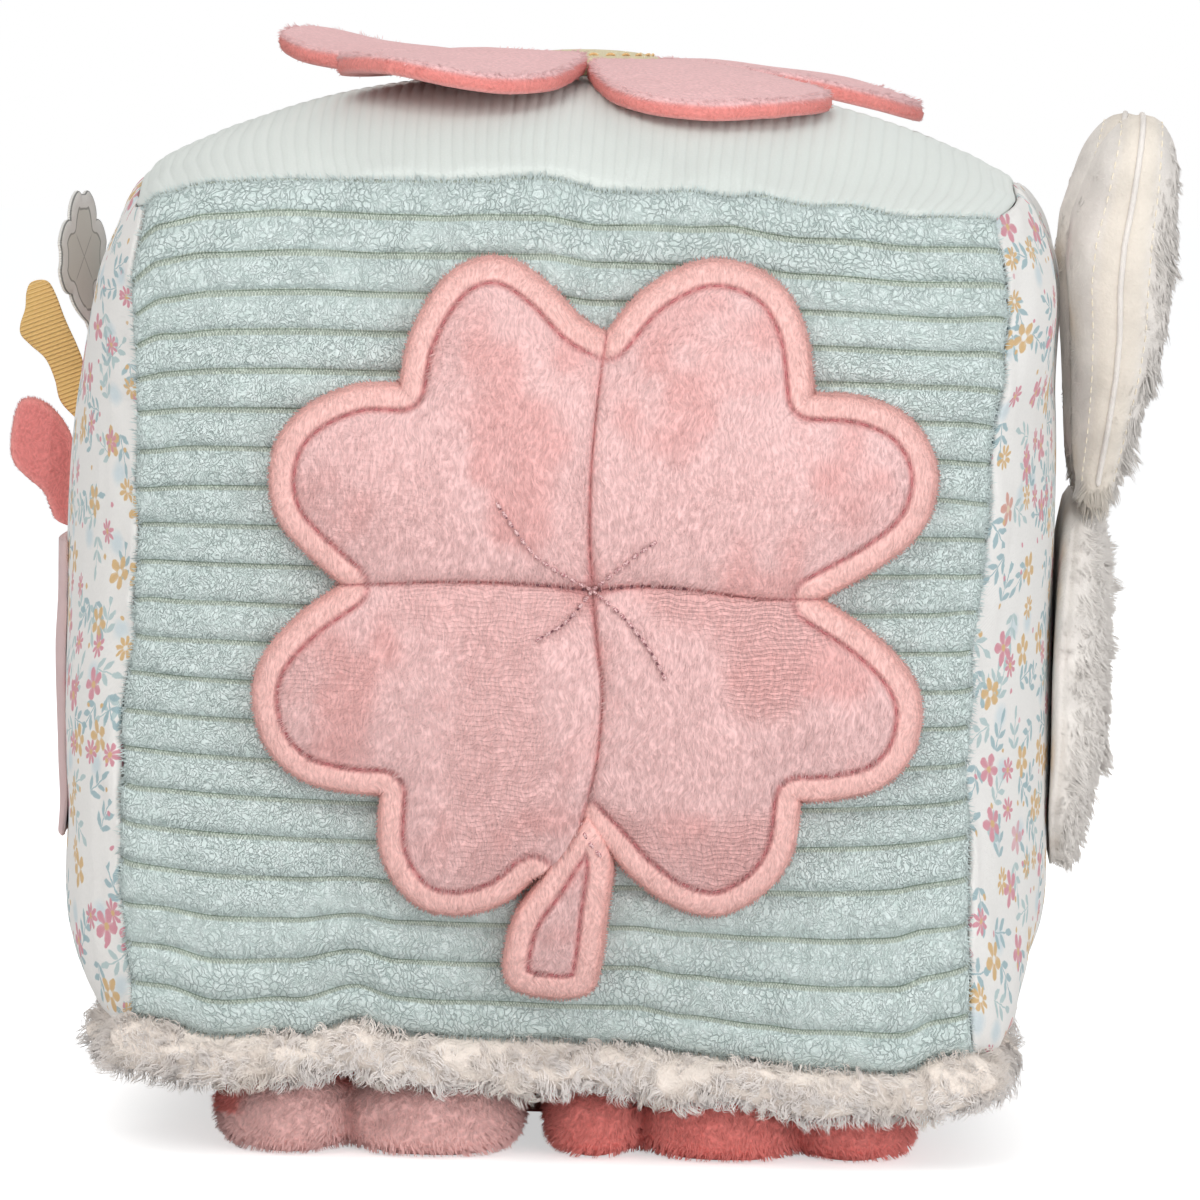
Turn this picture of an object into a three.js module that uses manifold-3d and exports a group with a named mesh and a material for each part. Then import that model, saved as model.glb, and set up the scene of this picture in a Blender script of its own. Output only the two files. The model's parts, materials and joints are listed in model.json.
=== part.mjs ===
// A stuffed fabric activity block with sewn-on toys, in millimetres, +Z up.
// The clover side faces -Y, the flap side -X and the bunny side +X.
// The origin is the middle of the flat underside of the stuffed butterfly
// that the block stands on.
import * as THREE from 'three';
import { mergeVertices } from 'three/addons/utils/BufferGeometryUtils.js';
import Module from 'manifold-3d';

const wasm = await Module();
wasm.setup();

// Clearances
const fitGap = 0.3;
const hingeGap = 0.5;
const pocketGap = 0.5;
const stuffingGap = 0.7;
const appliqueGap = 1.2;
const flapGap = 0.8;
const cloverTagGap = 0.9;

// How far a cutting solid runs past what it cuts
const cutOverrun = 60;

// Stuffed block, measured seam to seam
const blockWidth = 147;
const blockDepth = 147;
const blockHeight = 150;
const bottomSeamLevel = 24;
const frontCrown = 16;
const backCrown = 16;
const leftCrown = 19;
const rightCrown = 15;
const topCrown = 18;
const bottomCrown = 8;
const crownCurveShare = 2.6;
const cornerPullShare = 0.07;
const cornerCurveShare = 6;
const panelCells = 10;

// Cloth of the six sides
const ribbedThickness = 2.6;
const cottonThickness = 1.2;
const cordThickness = 1.8;
const sherpaThickness = 5;
const ribCount = 22;
const ribSteps = 3;
const ribColumns = 8;
const ribHeight = 1.6;

// Rattle in the middle of the stuffing
const rattleRadius = 16;
const rattleWall = 1.5;
const rattleLip = 1.4;
const rattleSegments = 20;
const rattleRings = 5;
const beadRadius = 3;
const beadSpread = 4.5;
const beadCount = 3;
const beadSegments = 10;
const beadRings = 6;

// Clover on the front
const cloverAcross = 6.3;
const cloverLevel = 103.5;
const lobeAcross = 16.5;
const lobeUp = 39.3;
const lobeRadius = 17.5;
const lobeSteps = 8;
const backingLobeSteps = 5;
const leafMiddle = 24;
const leafRim = 4;
const leafSwell = 6.4;
const leafStitchDepth = 0.5;
const leafStitchShare = 0.85;
const leafSeamShares = [0.33, 0.67];
const backingThickness = 0.8;
const backingInset = 1.2;
const stemStart = 40;
const stemLength = 32;
const stemWidth = 16;
const stemRim = 4;
const stemSwell = 5;
const stemCutGap = 0.8;
const stemShares = [
  [-0.03, 0], [-0.16, 0.08], [-0.41, 0.27], [-0.62, 0.41], [-0.79, 0.54], [-0.89, 0.84], [-0.79, 0.95],
  [-0.46, 0.99], [-0.09, 0.985], [0.075, 0.92], [0.125, 0.76], [0.2, 0.43], [0.26, 0.22], [0.16, 0.08],
];
const stemMiddleShares = [-0.27, 0.6];

// Flower on the top
const flowerAcross = 2;
const flowerBack = -4;
const flowerCentreRadius = 13.3;
const flowerCentreRim = 3;
const flowerCentreSwell = 5.2;
const flowerCentreSegments = 20;
const petalCount = 5;
const firstPetalDegrees = 18;
const petalRoot = 14;
const petalLength = 48;
const petalHalfWidth = 22;
const petalRim = 3.4;
const petalSwell = 4.4;
const petalShares = [[0, 0.36], [0.12, 0.58], [0.33, 0.86], [0.55, 1], [0.75, 0.93], [0.9, 0.64], [0.97, 0.36]];
const petalLifts = [9, 3, 16, 4, 1.2];
const petalCurlShare = 2.2;
const petalMiddleShare = 0.5;

// Bunny on the right side
const headLevel = 83;
const headBack = 0;
const headHalfHeight = 36;
const headHalfWidth = 39;
const headCheekShare = 0.08;
const headSwell = 13;
const headRim = 1.6;
const headSegments = 28;
const earLength = 66;
const earHalfWidth = 14.5;
const earHalfThickness = 7;
const earRootHalfThickness = 0.8;
const earSwellLength = 12;
const earRimHalf = 0.7;
const earBack = 15;
const earSplayDegrees = 18;
const earCurlShare = 1.2;
const earMiddleShare = 0.55;
const nearEarLean = 10;
const farEarLean = 8;
const earShares = [[0, 0.45], [0.1, 0.66], [0.3, 0.9], [0.55, 1], [0.78, 0.9], [0.92, 0.6], [0.98, 0.3]];

// Lift-up flap on the left side
const flapTopLevel = 106;
const flapLength = 54;
const flapHalfWidth = 30;
const flapCorner = 9;
const flapCornerSteps = 4;
const flapSideSteps = 4;
const flapRim = 2.2;
const flapSwell = 2.8;
const flapBack = 0;

// Sewn-in tags above the flap
const tabAboveFlap = 1;
const plushTabLevel = flapTopLevel + tabAboveFlap;
const plushTabBack = -4;
const plushTabReach = 12.5;
const plushTabHeight = 25;
const plushTabHalfThickness = 2.5;
const plushTabShares = [
  [0, 0.02], [0, 0.7], [0.06, 0.78], [0.36, 0.95], [0.7, 1], [0.94, 0.88],
  [1, 0.7], [0.82, 0.44], [0.46, 0.3], [0.23, 0.17],
];
const plushTabMiddleShares = [0.45, 0.62];
const ribbonAboveTab = 20;
const ribbonTagLevel = plushTabLevel + ribbonAboveTab;
const ribbonTagBack = -4;
const ribbonTagReach = 11;
const ribbonTagHeight = 26;
const ribbonTagHalfThickness = 1.1;
const ribbonTagShares = [[0, 0], [0, 0.17], [0.09, 0.54], [0.36, 0.85], [0.73, 1], [1, 0.63], [0.91, 0.54], [0.45, 0.27]];
const ribbonTagMiddleShares = [0.45, 0.54];
const tagRootHalfThickness = 0.5;
const tagSwellLength = 4;
const tagRimShare = 0.6;
const cloverTagBelowSeam = 32;
const cloverTagLevel = bottomSeamLevel + blockHeight - cloverTagBelowSeam;
const cloverTagBack = 16;
const cloverTagRadius = 11;
const cloverTagWaistShare = 0.72;
const cloverTagStem = 18;
const cloverTagStemHalfWidth = 2;
const cloverTagThickness = 1.2;
const cloverTagLeanShare = 0.12;
const cloverTagTurnDegrees = 25;
const cloverTagSegments = 24;

// Stuffed butterfly under the block
const butterflyAcross = 2.5;
const butterflyHalfLength = 42;
const butterflyHalfWidth = 8;
const butterflyHeight = 15.4;
const butterflyRimLevel = 7;
const butterflyRimHalf = 1;
const butterflySegments = 24;
const butterflyEndShare = 0.8;
const butterflySideShare = 0.6;
const underCut = 0.5;
const wingLength = 59;
const wingHalfWidth = 30;
const wingRise = 7.2;
const wingRimHalf = 0.8;
const wingRootHalf = 0.5;
const wingSwellLength = 15;
const wingMiddleShare = 0.55;
const leftWingAcross = -30.5;
const rightWingAcross = 33;
const wingShares = [[0, 0.5], [0.15, 0.68], [0.4, 0.93], [0.62, 1], [0.8, 0.88], [0.93, 0.64], [1, 0.36], [0.97, 0.12]];

// Finishes: colour, roughness
const finishes = {
  ribbed: [0xc4d6d0, 0.95],
  cord: [0xd2ddd8, 0.9],
  cotton: [0xf0ebe6, 0.85],
  sherpa: [0xe9e2da, 1],
  stuffing: [0xf4f4f2, 1],
  plastic: [0xeeeeea, 0.45],
  bead: [0xd9b35a, 0.4],
  pinkPlush: [0xe0aaa6, 0.95],
  pinkFelt: [0xd99a93, 0.95],
  petalPlush: [0xe3a8a4, 0.95],
  creamCotton: [0xf0e2bd, 0.9],
  longPlush: [0xefe9e2, 1],
  coralPlush: [0xdf9490, 0.95],
  palePinkPlush: [0xe6bdbb, 0.95],
  mustardRibbon: [0xd9ae66, 0.85],
  greyTwill: [0xb0aea6, 0.8],
  palePinkCotton: [0xdab0ae, 0.9],
};

const group = new THREE.Group();

function addPiece(name, geometry, finishName, hinge) {
  const [color, roughness] = finishes[finishName];
  const material = new THREE.MeshStandardMaterial({ color, roughness, metalness: 0 });
  const mesh = new THREE.Mesh(geometry, material);
  mesh.name = name;
  if (!hinge) {
    group.add(mesh);
    return;
  }
  // A moving piece hangs in a group whose origin is its hinge.
  geometry.translate(-hinge.x, -hinge.y, -hinge.z);
  const pivot = new THREE.Group();
  pivot.position.copy(hinge);
  pivot.add(mesh);
  group.add(pivot);
}

// A closed body from points and triangles, turned so that its faces point out
function closedGeometry(points, triangles) {
  let volume = 0;
  for (const [a, b, c] of triangles) {
    volume += points[a].dot(points[b].clone().cross(points[c]));
  }
  const geometry = new THREE.BufferGeometry();
  const flat = points.flatMap((point) => point.toArray());
  const index = triangles.flatMap(([a, b, c]) => (volume > 0 ? [a, b, c] : [a, c, b]));
  geometry.setAttribute('position', new THREE.Float32BufferAttribute(flat, 3));
  geometry.setIndex(index);
  geometry.computeVertexNormals();
  return geometry;
}

function crownShare(share) {
  return 1 - Math.min(1, Math.abs(share)) ** crownCurveShare;
}

const blockHalf = new THREE.Vector3(blockWidth, blockDepth, blockHeight).divideScalar(2);
const blockCentre = new THREE.Vector3(0, 0, bottomSeamLevel + blockHalf.z);
const lowCloth = new THREE.Vector3(cottonThickness, ribbedThickness, sherpaThickness);
const highCloth = new THREE.Vector3(cottonThickness, ribbedThickness, cordThickness);
const axisNames = ['x', 'y', 'z'];

function makeSide(normal, across, up, crown) {
  return {
    normal: new THREE.Vector3(...normal),
    across: new THREE.Vector3(...across),
    up: new THREE.Vector3(...up),
    crown,
  };
}

const sides = {
  front: makeSide([0, -1, 0], [1, 0, 0], [0, 0, 1], frontCrown),
  back: makeSide([0, 1, 0], [-1, 0, 0], [0, 0, 1], backCrown),
  left: makeSide([-1, 0, 0], [0, -1, 0], [0, 0, 1], leftCrown),
  right: makeSide([1, 0, 0], [0, 1, 0], [0, 0, 1], rightCrown),
  top: makeSide([0, 0, 1], [1, 0, 0], [0, 1, 0], topCrown),
  bottom: makeSide([0, 0, -1], [1, 0, 0], [0, -1, 0], bottomCrown),
};

// A point of the block's skin. layerShare is 0 outside and 1 inside the cloth.
function skinPoint(side, acrossShare, upShare, layerShare, clearance, relief) {
  const unit = side.normal.clone();
  unit.addScaledVector(side.across, acrossShare).addScaledVector(side.up, upShare);
  const point = new THREE.Vector3();
  for (const axis of axisNames) {
    const others = axisNames.filter((name) => name !== axis);
    const corner = others.reduce((product, name) => product * Math.abs(unit[name]) ** cornerCurveShare, 1);
    const cloth = (unit[axis] < 0 ? lowCloth[axis] : highCloth[axis]) * layerShare;
    const reach = blockHalf[axis] - cloth - clearance;
    point[axis] = unit[axis] * reach * (1 - cornerPullShare * corner);
  }
  const swell = side.crown * crownShare(acrossShare) * crownShare(upShare) + relief;
  return point.addScaledVector(side.normal, swell).add(blockCentre);
}

// How far a side's outer face stands from the block's middle, at a place in its plane
function skinHeight(side, acrossPlace, upPlace) {
  const acrossHalf = Math.abs(side.across.dot(blockHalf));
  const upHalf = Math.abs(side.up.dot(blockHalf));
  const planeHeight = Math.abs(side.normal.dot(blockHalf));
  return planeHeight + side.crown * crownShare(acrossPlace / acrossHalf) * crownShare(upPlace / upHalf);
}

function gridTriangles(columns, rows, offset, flipped) {
  const triangles = [];
  for (let row = 0; row < rows; row += 1) {
    for (let column = 0; column < columns; column += 1) {
      const a = offset + row * (columns + 1) + column;
      const b = a + 1;
      const c = a + columns + 1;
      const d = c + 1;
      triangles.push(flipped ? [a, c, b] : [a, b, c], flipped ? [b, c, d] : [b, d, c]);
    }
  }
  return triangles;
}

// One side of the cover: two skins joined along the four seams
function panelGeometry(side, columns, rows, reliefAt) {
  const seamShare = 1 - fitGap / (Math.SQRT2 * blockHalf.z);
  const points = [];
  for (const layerShare of [0, 1]) {
    for (let row = 0; row <= rows; row += 1) {
      for (let column = 0; column <= columns; column += 1) {
        const acrossShare = seamShare * (2 * column / columns - 1);
        const upShare = seamShare * (2 * row / rows - 1);
        const relief = layerShare === 0 ? reliefAt(column, row) : 0;
        points.push(skinPoint(side, acrossShare, upShare, layerShare, 0, relief));
      }
    }
  }
  const layerSize = (columns + 1) * (rows + 1);
  const rim = [];
  for (let column = 0; column < columns; column += 1) {
    rim.push(column);
  }
  for (let row = 0; row < rows; row += 1) {
    rim.push(row * (columns + 1) + columns);
  }
  for (let column = columns; column > 0; column -= 1) {
    rim.push(rows * (columns + 1) + column);
  }
  for (let row = rows; row > 0; row -= 1) {
    rim.push(row * (columns + 1));
  }
  const triangles = gridTriangles(columns, rows, 0, false);
  triangles.push(...gridTriangles(columns, rows, layerSize, true));
  rim.forEach((a, place) => {
    const b = rim[(place + 1) % rim.length];
    triangles.push([b, a, a + layerSize], [b, a + layerSize, b + layerSize]);
  });
  return closedGeometry(points, triangles);
}

// A padded shape: an outline filled by rings that shrink towards its middle.
// topAt and bottomAt give the two heights, and placeAt puts a point in space.
function paddedGeometry({ outline, middle, topRingShares, bottomRingShares, topAt, bottomAt, placeAt }) {
  const points = [];
  const triangles = [];
  const count = outline.length;
  const addSkin = (ringShares, heightAt, flipped) => {
    const start = points.length;
    for (const ringShare of ringShares) {
      for (const [u, v] of outline) {
        const across = middle[0] + (u - middle[0]) * ringShare;
        const along = middle[1] + (v - middle[1]) * ringShare;
        points.push(placeAt(across, along, heightAt(across, along, ringShare)));
      }
    }
    const tip = points.length;
    points.push(placeAt(middle[0], middle[1], heightAt(middle[0], middle[1], 0)));
    for (let ring = 0; ring < ringShares.length; ring += 1) {
      for (let place = 0; place < count; place += 1) {
        const next = (place + 1) % count;
        const a = start + ring * count + place;
        const b = start + ring * count + next;
        if (ring === ringShares.length - 1) {
          triangles.push(flipped ? [b, a, tip] : [a, b, tip]);
        } else {
          const c = a + count;
          const d = b + count;
          triangles.push(flipped ? [b, a, c] : [a, b, c], flipped ? [b, c, d] : [b, d, c]);
        }
      }
    }
    return start;
  };
  const topStart = addSkin(topRingShares, topAt, false);
  const bottomStart = addSkin(bottomRingShares, bottomAt, true);
  for (let place = 0; place < count; place += 1) {
    const next = (place + 1) % count;
    const [a, b, c, d] = [topStart + place, topStart + next, bottomStart + place, bottomStart + next];
    triangles.push([b, a, c], [b, c, d]);
  }
  return closedGeometry(points, triangles);
}

// Both edges of a shape that is alike on either side of its length
function mirroredOutline(shares, length, halfWidth) {
  const near = shares.map(([alongShare, widthShare]) => [widthShare * halfWidth, alongShare * length]);
  const far = near.map(([across, along]) => [-across, along]).reverse();
  return [...near, ...far];
}

function outlineFromShares(shares, width, height) {
  return shares.map(([acrossShare, upShare]) => [acrossShare * width, upShare * height]);
}

function domeShare(ringShare) {
  return Math.sqrt(Math.max(0, 1 - ringShare * ringShare));
}

// Solids for cutting
function toSolid(geometry) {
  const bare = geometry.clone();
  bare.deleteAttribute('normal');
  bare.deleteAttribute('uv');
  const merged = mergeVertices(bare);
  const vertProperties = new Float32Array(merged.attributes.position.array);
  const triVerts = new Uint32Array(merged.index.array);
  return new wasm.Manifold(new wasm.Mesh({ numProp: 3, vertProperties, triVerts }));
}

function toGeometry(solid) {
  const mesh = solid.getMesh();
  const geometry = new THREE.BufferGeometry();
  geometry.setAttribute('position', new THREE.Float32BufferAttribute(mesh.vertProperties, 3));
  geometry.setIndex([...mesh.triVerts]);
  geometry.computeVertexNormals();
  return geometry;
}

// Cover: six sides sewn along twelve seams
function addCover() {
  const smooth = () => 0;
  const ribRows = ribCount * ribSteps;
  const ribbed = (column, row) => {
    const onSeam = column === 0 || column === ribColumns;
    return onSeam || row % ribSteps === 0 ? 0 : ribHeight;
  };
  addPiece('front_panel', panelGeometry(sides.front, ribColumns, ribRows, ribbed), 'ribbed');
  addPiece('back_panel', panelGeometry(sides.back, panelCells, panelCells, smooth), 'ribbed');
  addPiece('left_panel', panelGeometry(sides.left, panelCells, panelCells, smooth), 'cotton');
  addPiece('right_panel', panelGeometry(sides.right, panelCells, panelCells, smooth), 'cotton');
  addPiece('top_panel', panelGeometry(sides.top, panelCells, panelCells, smooth), 'cord');
  addPiece('bottom_panel', panelGeometry(sides.bottom, panelCells, panelCells, smooth), 'sherpa');
}

// Stuffing: one soft mass in two halves, with a round pocket for the rattle
function addStuffing() {
  const points = [];
  const triangles = [];
  for (const side of Object.values(sides)) {
    const offset = points.length;
    for (let row = 0; row <= panelCells; row += 1) {
      for (let column = 0; column <= panelCells; column += 1) {
        const acrossShare = 2 * column / panelCells - 1;
        const upShare = 2 * row / panelCells - 1;
        points.push(skinPoint(side, acrossShare, upShare, 1, stuffingGap, 0));
      }
    }
    triangles.push(...gridTriangles(panelCells, panelCells, offset, false));
  }
  const mass = toSolid(closedGeometry(points, triangles));
  const pocket = new THREE.SphereGeometry(rattleRadius + pocketGap, rattleSegments, 2 * rattleRings);
  pocket.translate(blockCentre.x, blockCentre.y, blockCentre.z);
  const hollowed = mass.subtract(toSolid(pocket));
  const halves = [['stuffing_lower', -1], ['stuffing_upper', 1]];
  for (const [name, direction] of halves) {
    const half = new THREE.BoxGeometry(blockWidth + cutOverrun, blockDepth + cutOverrun, blockHeight);
    half.translate(0, 0, blockCentre.z + direction * (blockHalf.z + fitGap / 2));
    addPiece(name, toGeometry(hollowed.intersect(toSolid(half))), 'stuffing');
  }
}

// Rattle: two snapped plastic cups with loose beads
function addRattle() {
  const cup = (innerLip) => {
    const profile = [];
    const lipRadius = rattleRadius - rattleWall / 2;
    const innerRadius = rattleRadius - rattleWall;
    const edge = fitGap / 2;
    for (let ring = 0; ring <= rattleRings; ring += 1) {
      const angle = (Math.PI / 2) * (ring / rattleRings);
      const height = ring === rattleRings ? edge : rattleRadius * Math.cos(angle);
      profile.push(new THREE.Vector2(rattleRadius * Math.sin(angle), height));
    }
    if (innerLip) {
      profile.push(new THREE.Vector2(lipRadius - fitGap / 2, edge));
      profile.push(new THREE.Vector2(lipRadius - fitGap / 2, -rattleLip));
      profile.push(new THREE.Vector2(innerRadius, -rattleLip));
    } else {
      profile.push(new THREE.Vector2(lipRadius + fitGap / 2, edge));
      profile.push(new THREE.Vector2(lipRadius + fitGap / 2, rattleLip + edge));
      profile.push(new THREE.Vector2(innerRadius, rattleLip + edge));
    }
    for (let ring = rattleRings - 1; ring >= 0; ring -= 1) {
      const angle = (Math.PI / 2) * (ring / rattleRings);
      profile.push(new THREE.Vector2(innerRadius * Math.sin(angle), innerRadius * Math.cos(angle)));
    }
    const lathe = new THREE.LatheGeometry(profile, rattleSegments);
    lathe.rotateX(Math.PI / 2);
    return lathe;
  };
  const upper = toGeometry(toSolid(latheBody(cup(false))));
  const lower = toGeometry(toSolid(latheBody(cup(true))));
  lower.rotateX(Math.PI);
  for (const [name, geometry] of [['rattle_cup_upper', upper], ['rattle_cup_lower', lower]]) {
    geometry.translate(blockCentre.x, blockCentre.y, blockCentre.z);
    addPiece(name, geometry, 'plastic');
  }
  const drop = Math.sqrt((rattleRadius - rattleWall - beadRadius - fitGap) ** 2 - beadSpread ** 2);
  for (let bead = 0; bead < beadCount; bead += 1) {
    const angle = (2 * Math.PI * bead) / beadCount;
    const geometry = mergedBare(new THREE.SphereGeometry(beadRadius, beadSegments, beadRings));
    const height = blockCentre.z - drop;
    geometry.translate(beadSpread * Math.cos(angle), beadSpread * Math.sin(angle), height);
    addPiece(`rattle_bead_${bead + 1}`, geometry, 'bead');
  }
}

function mergedBare(geometry) {
  geometry.deleteAttribute('normal');
  geometry.deleteAttribute('uv');
  const merged = mergeVertices(geometry);
  merged.computeVertexNormals();
  return merged;
}

function latheBody(geometry) {
  const bare = mergedBare(geometry);
  const points = [];
  const place = bare.attributes.position;
  for (let i = 0; i < place.count; i += 1) {
    points.push(new THREE.Vector3().fromBufferAttribute(place, i));
  }
  const triangles = [];
  for (let i = 0; i < bare.index.count; i += 3) {
    const [a, b, c] = [bare.index.getX(i), bare.index.getX(i + 1), bare.index.getX(i + 2)];
    if (a !== b && b !== c && c !== a) {
      triangles.push([a, b, c]);
    }
  }
  return closedGeometry(points, triangles);
}

// Clover: four padded leaves and a stem on a backing sheet
function cloverPlace(across, up, height) {
  const x = cloverAcross + across;
  const z = cloverLevel + up;
  const stand = skinHeight(sides.front, x, z - blockCentre.z) + ribHeight + appliqueGap;
  return new THREE.Vector3(x, -(stand + height), z);
}

// Half of a leaf's rim, from the notch on the seam to the cleft on the diagonal
function lobeArc(radius, seam, steps) {
  const notchAngle = Math.PI - Math.acos(Math.min(1, (lobeAcross - seam) / radius));
  const diagonal = (lobeUp - lobeAcross) / Math.SQRT2;
  const cleftAngle = Math.PI / 4 - Math.acos(Math.min(1, diagonal / radius));
  const arc = [];
  for (let step = 0; step <= steps; step += 1) {
    const angle = notchAngle + (cleftAngle - notchAngle) * (step / steps);
    arc.push([lobeAcross + radius * Math.cos(angle), lobeUp + radius * Math.sin(angle)]);
  }
  return arc;
}

function addClover() {
  const seam = fitGap / 2;
  const firstArc = lobeArc(lobeRadius, seam, lobeSteps);
  const swapped = firstArc.slice(0, -1).map(([u, v]) => [v, u]).reverse();
  const seamStart = firstArc[0][1];
  const along = leafSeamShares.map((seamShare) => seamStart * seamShare);
  const leafOutline = [
    [seam, seam],
    ...along.map((place) => [seam, place]),
    ...firstArc,
    ...swapped,
    ...along.map((place) => [place, seam]).reverse(),
  ];
  const leafBase = backingThickness + fitGap;
  const leafTop = (u, v, ringShare) => {
    if (ringShare === 1) {
      return leafBase + leafRim;
    }
    const groove = ringShare > leafStitchShare ? leafStitchDepth : 0;
    return leafBase + leafRim + (leafSwell - leafRim) * domeShare(ringShare) - groove;
  };
  const stemMiddle = [stemMiddleShares[0] * stemWidth, -stemMiddleShares[1] * stemLength];
  const stemOutline = outlineFromShares(stemShares, stemWidth, -stemLength);
  const stemPlace = (u, v, height) => cloverPlace(u, v - stemStart, height);
  const stem = paddedGeometry({
    outline: stemOutline,
    middle: stemMiddle,
    topRingShares: [1, 0.8, 0.4],
    bottomRingShares: [1, 0.5],
    topAt: (u, v, ringShare) => leafBase + stemRim + (stemSwell - stemRim) * domeShare(ringShare),
    bottomAt: () => leafBase,
    placeAt: stemPlace,
  });
  addPiece('clover_stem', stem, 'pinkPlush');
  // The two lower leaves are trimmed where the stem comes between them.
  const trimOutline = stemOutline.map(([u, v]) => {
    const [across, along] = [u - stemMiddle[0], v - stemMiddle[1]];
    const reach = Math.hypot(across, along);
    const grown = (reach + stemCutGap) / reach;
    return [stemMiddle[0] + across * grown, stemMiddle[1] + along * grown];
  });
  const trim = toSolid(paddedGeometry({
    outline: trimOutline,
    middle: stemMiddle,
    topRingShares: [1],
    bottomRingShares: [1],
    topAt: () => cutOverrun,
    bottomAt: () => -cutOverrun,
    placeAt: stemPlace,
  }));
  const leaves = [
    ['clover_leaf_upper_left', -1, 1],
    ['clover_leaf_upper_right', 1, 1],
    ['clover_leaf_lower_left', -1, -1],
    ['clover_leaf_lower_right', 1, -1],
  ];
  for (const [name, acrossSign, upSign] of leaves) {
    const leaf = paddedGeometry({
      outline: leafOutline,
      middle: [leafMiddle, leafMiddle],
      topRingShares: [1, 0.9, 0.72, 0.36],
      bottomRingShares: [1, 0.75, 0.5, 0.25],
      topAt: leafTop,
      bottomAt: () => leafBase,
      placeAt: (u, v, height) => cloverPlace(acrossSign * u, upSign * v, height),
    });
    const trimmed = upSign < 0 ? toGeometry(toSolid(leaf).subtract(trim)) : leaf;
    addPiece(name, trimmed, 'pinkPlush');
  }
  const backingSeam = lobeAcross - lobeRadius + 2 * backingInset;
  const backingArc = lobeArc(lobeRadius - backingInset, backingSeam, backingLobeSteps);
  const quarter = [...backingArc, ...backingArc.slice(0, -1).map(([u, v]) => [v, u]).reverse()];
  const quarters = [[1, 1, false], [1, -1, true], [-1, -1, false], [-1, 1, true]];
  const backingOutline = quarters.flatMap(([acrossSign, upSign, turned]) => {
    const corner = quarter.map(([u, v]) => [acrossSign * u, upSign * v]);
    return turned ? corner.reverse() : corner;
  });
  const backing = paddedGeometry({
    outline: backingOutline,
    middle: [0, 0],
    topRingShares: [1, 0.85, 0.7, 0.5, 0.25],
    bottomRingShares: [1, 0.85, 0.7, 0.5, 0.25],
    topAt: () => backingThickness,
    bottomAt: () => 0,
    placeAt: cloverPlace,
  });
  addPiece('clover_backing', backing, 'pinkFelt');
}

// Flower: five padded petals that lift around a padded centre
function flowerStand(x, y) {
  return blockCentre.z + skinHeight(sides.top, x, y) + fitGap;
}

function addFlower() {
  const centreOutline = [];
  for (let step = 0; step < flowerCentreSegments; step += 1) {
    const angle = (2 * Math.PI * step) / flowerCentreSegments;
    centreOutline.push([flowerCentreRadius * Math.cos(angle), flowerCentreRadius * Math.sin(angle)]);
  }
  const placeOnTop = (u, v, height) => {
    const x = flowerAcross + u;
    const y = flowerBack + v;
    return new THREE.Vector3(x, y, flowerStand(x, y) + height);
  };
  const centre = paddedGeometry({
    outline: centreOutline,
    middle: [0, 0],
    topRingShares: [1, 0.7, 0.35],
    bottomRingShares: [1, 0.5],
    topAt: (u, v, ringShare) => flowerCentreRim + (flowerCentreSwell - flowerCentreRim) * domeShare(ringShare),
    bottomAt: () => 0,
    placeAt: placeOnTop,
  });
  addPiece('flower_centre', centre, 'creamCotton');
  const outline = mirroredOutline(petalShares, petalLength, petalHalfWidth);
  outline.splice(petalShares.length, 0, [0, petalLength]);
  for (let petal = 0; petal < petalCount; petal += 1) {
    const angle = THREE.MathUtils.degToRad(firstPetalDegrees + (360 * petal) / petalCount);
    const lift = petalLifts[petal % petalLifts.length];
    const placeAt = (u, v, height) => {
      const radius = petalRoot + v;
      const across = radius * Math.cos(angle) - u * Math.sin(angle);
      const back = radius * Math.sin(angle) + u * Math.cos(angle);
      const raised = lift * Math.max(0, v / petalLength) ** petalCurlShare;
      return placeOnTop(across, back, height + raised);
    };
    const geometry = paddedGeometry({
      outline,
      middle: [0, petalLength * petalMiddleShare],
      topRingShares: [1, 0.86, 0.45],
      bottomRingShares: [1, 0.75, 0.5, 0.25],
      topAt: (u, v, ringShare) => petalRim + (petalSwell - petalRim) * domeShare(ringShare),
      bottomAt: () => 0,
      placeAt,
    });
    addPiece(`petal_${petal + 1}`, geometry, 'petalPlush', placeAt(0, 0, petalRim));
  }
}

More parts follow.
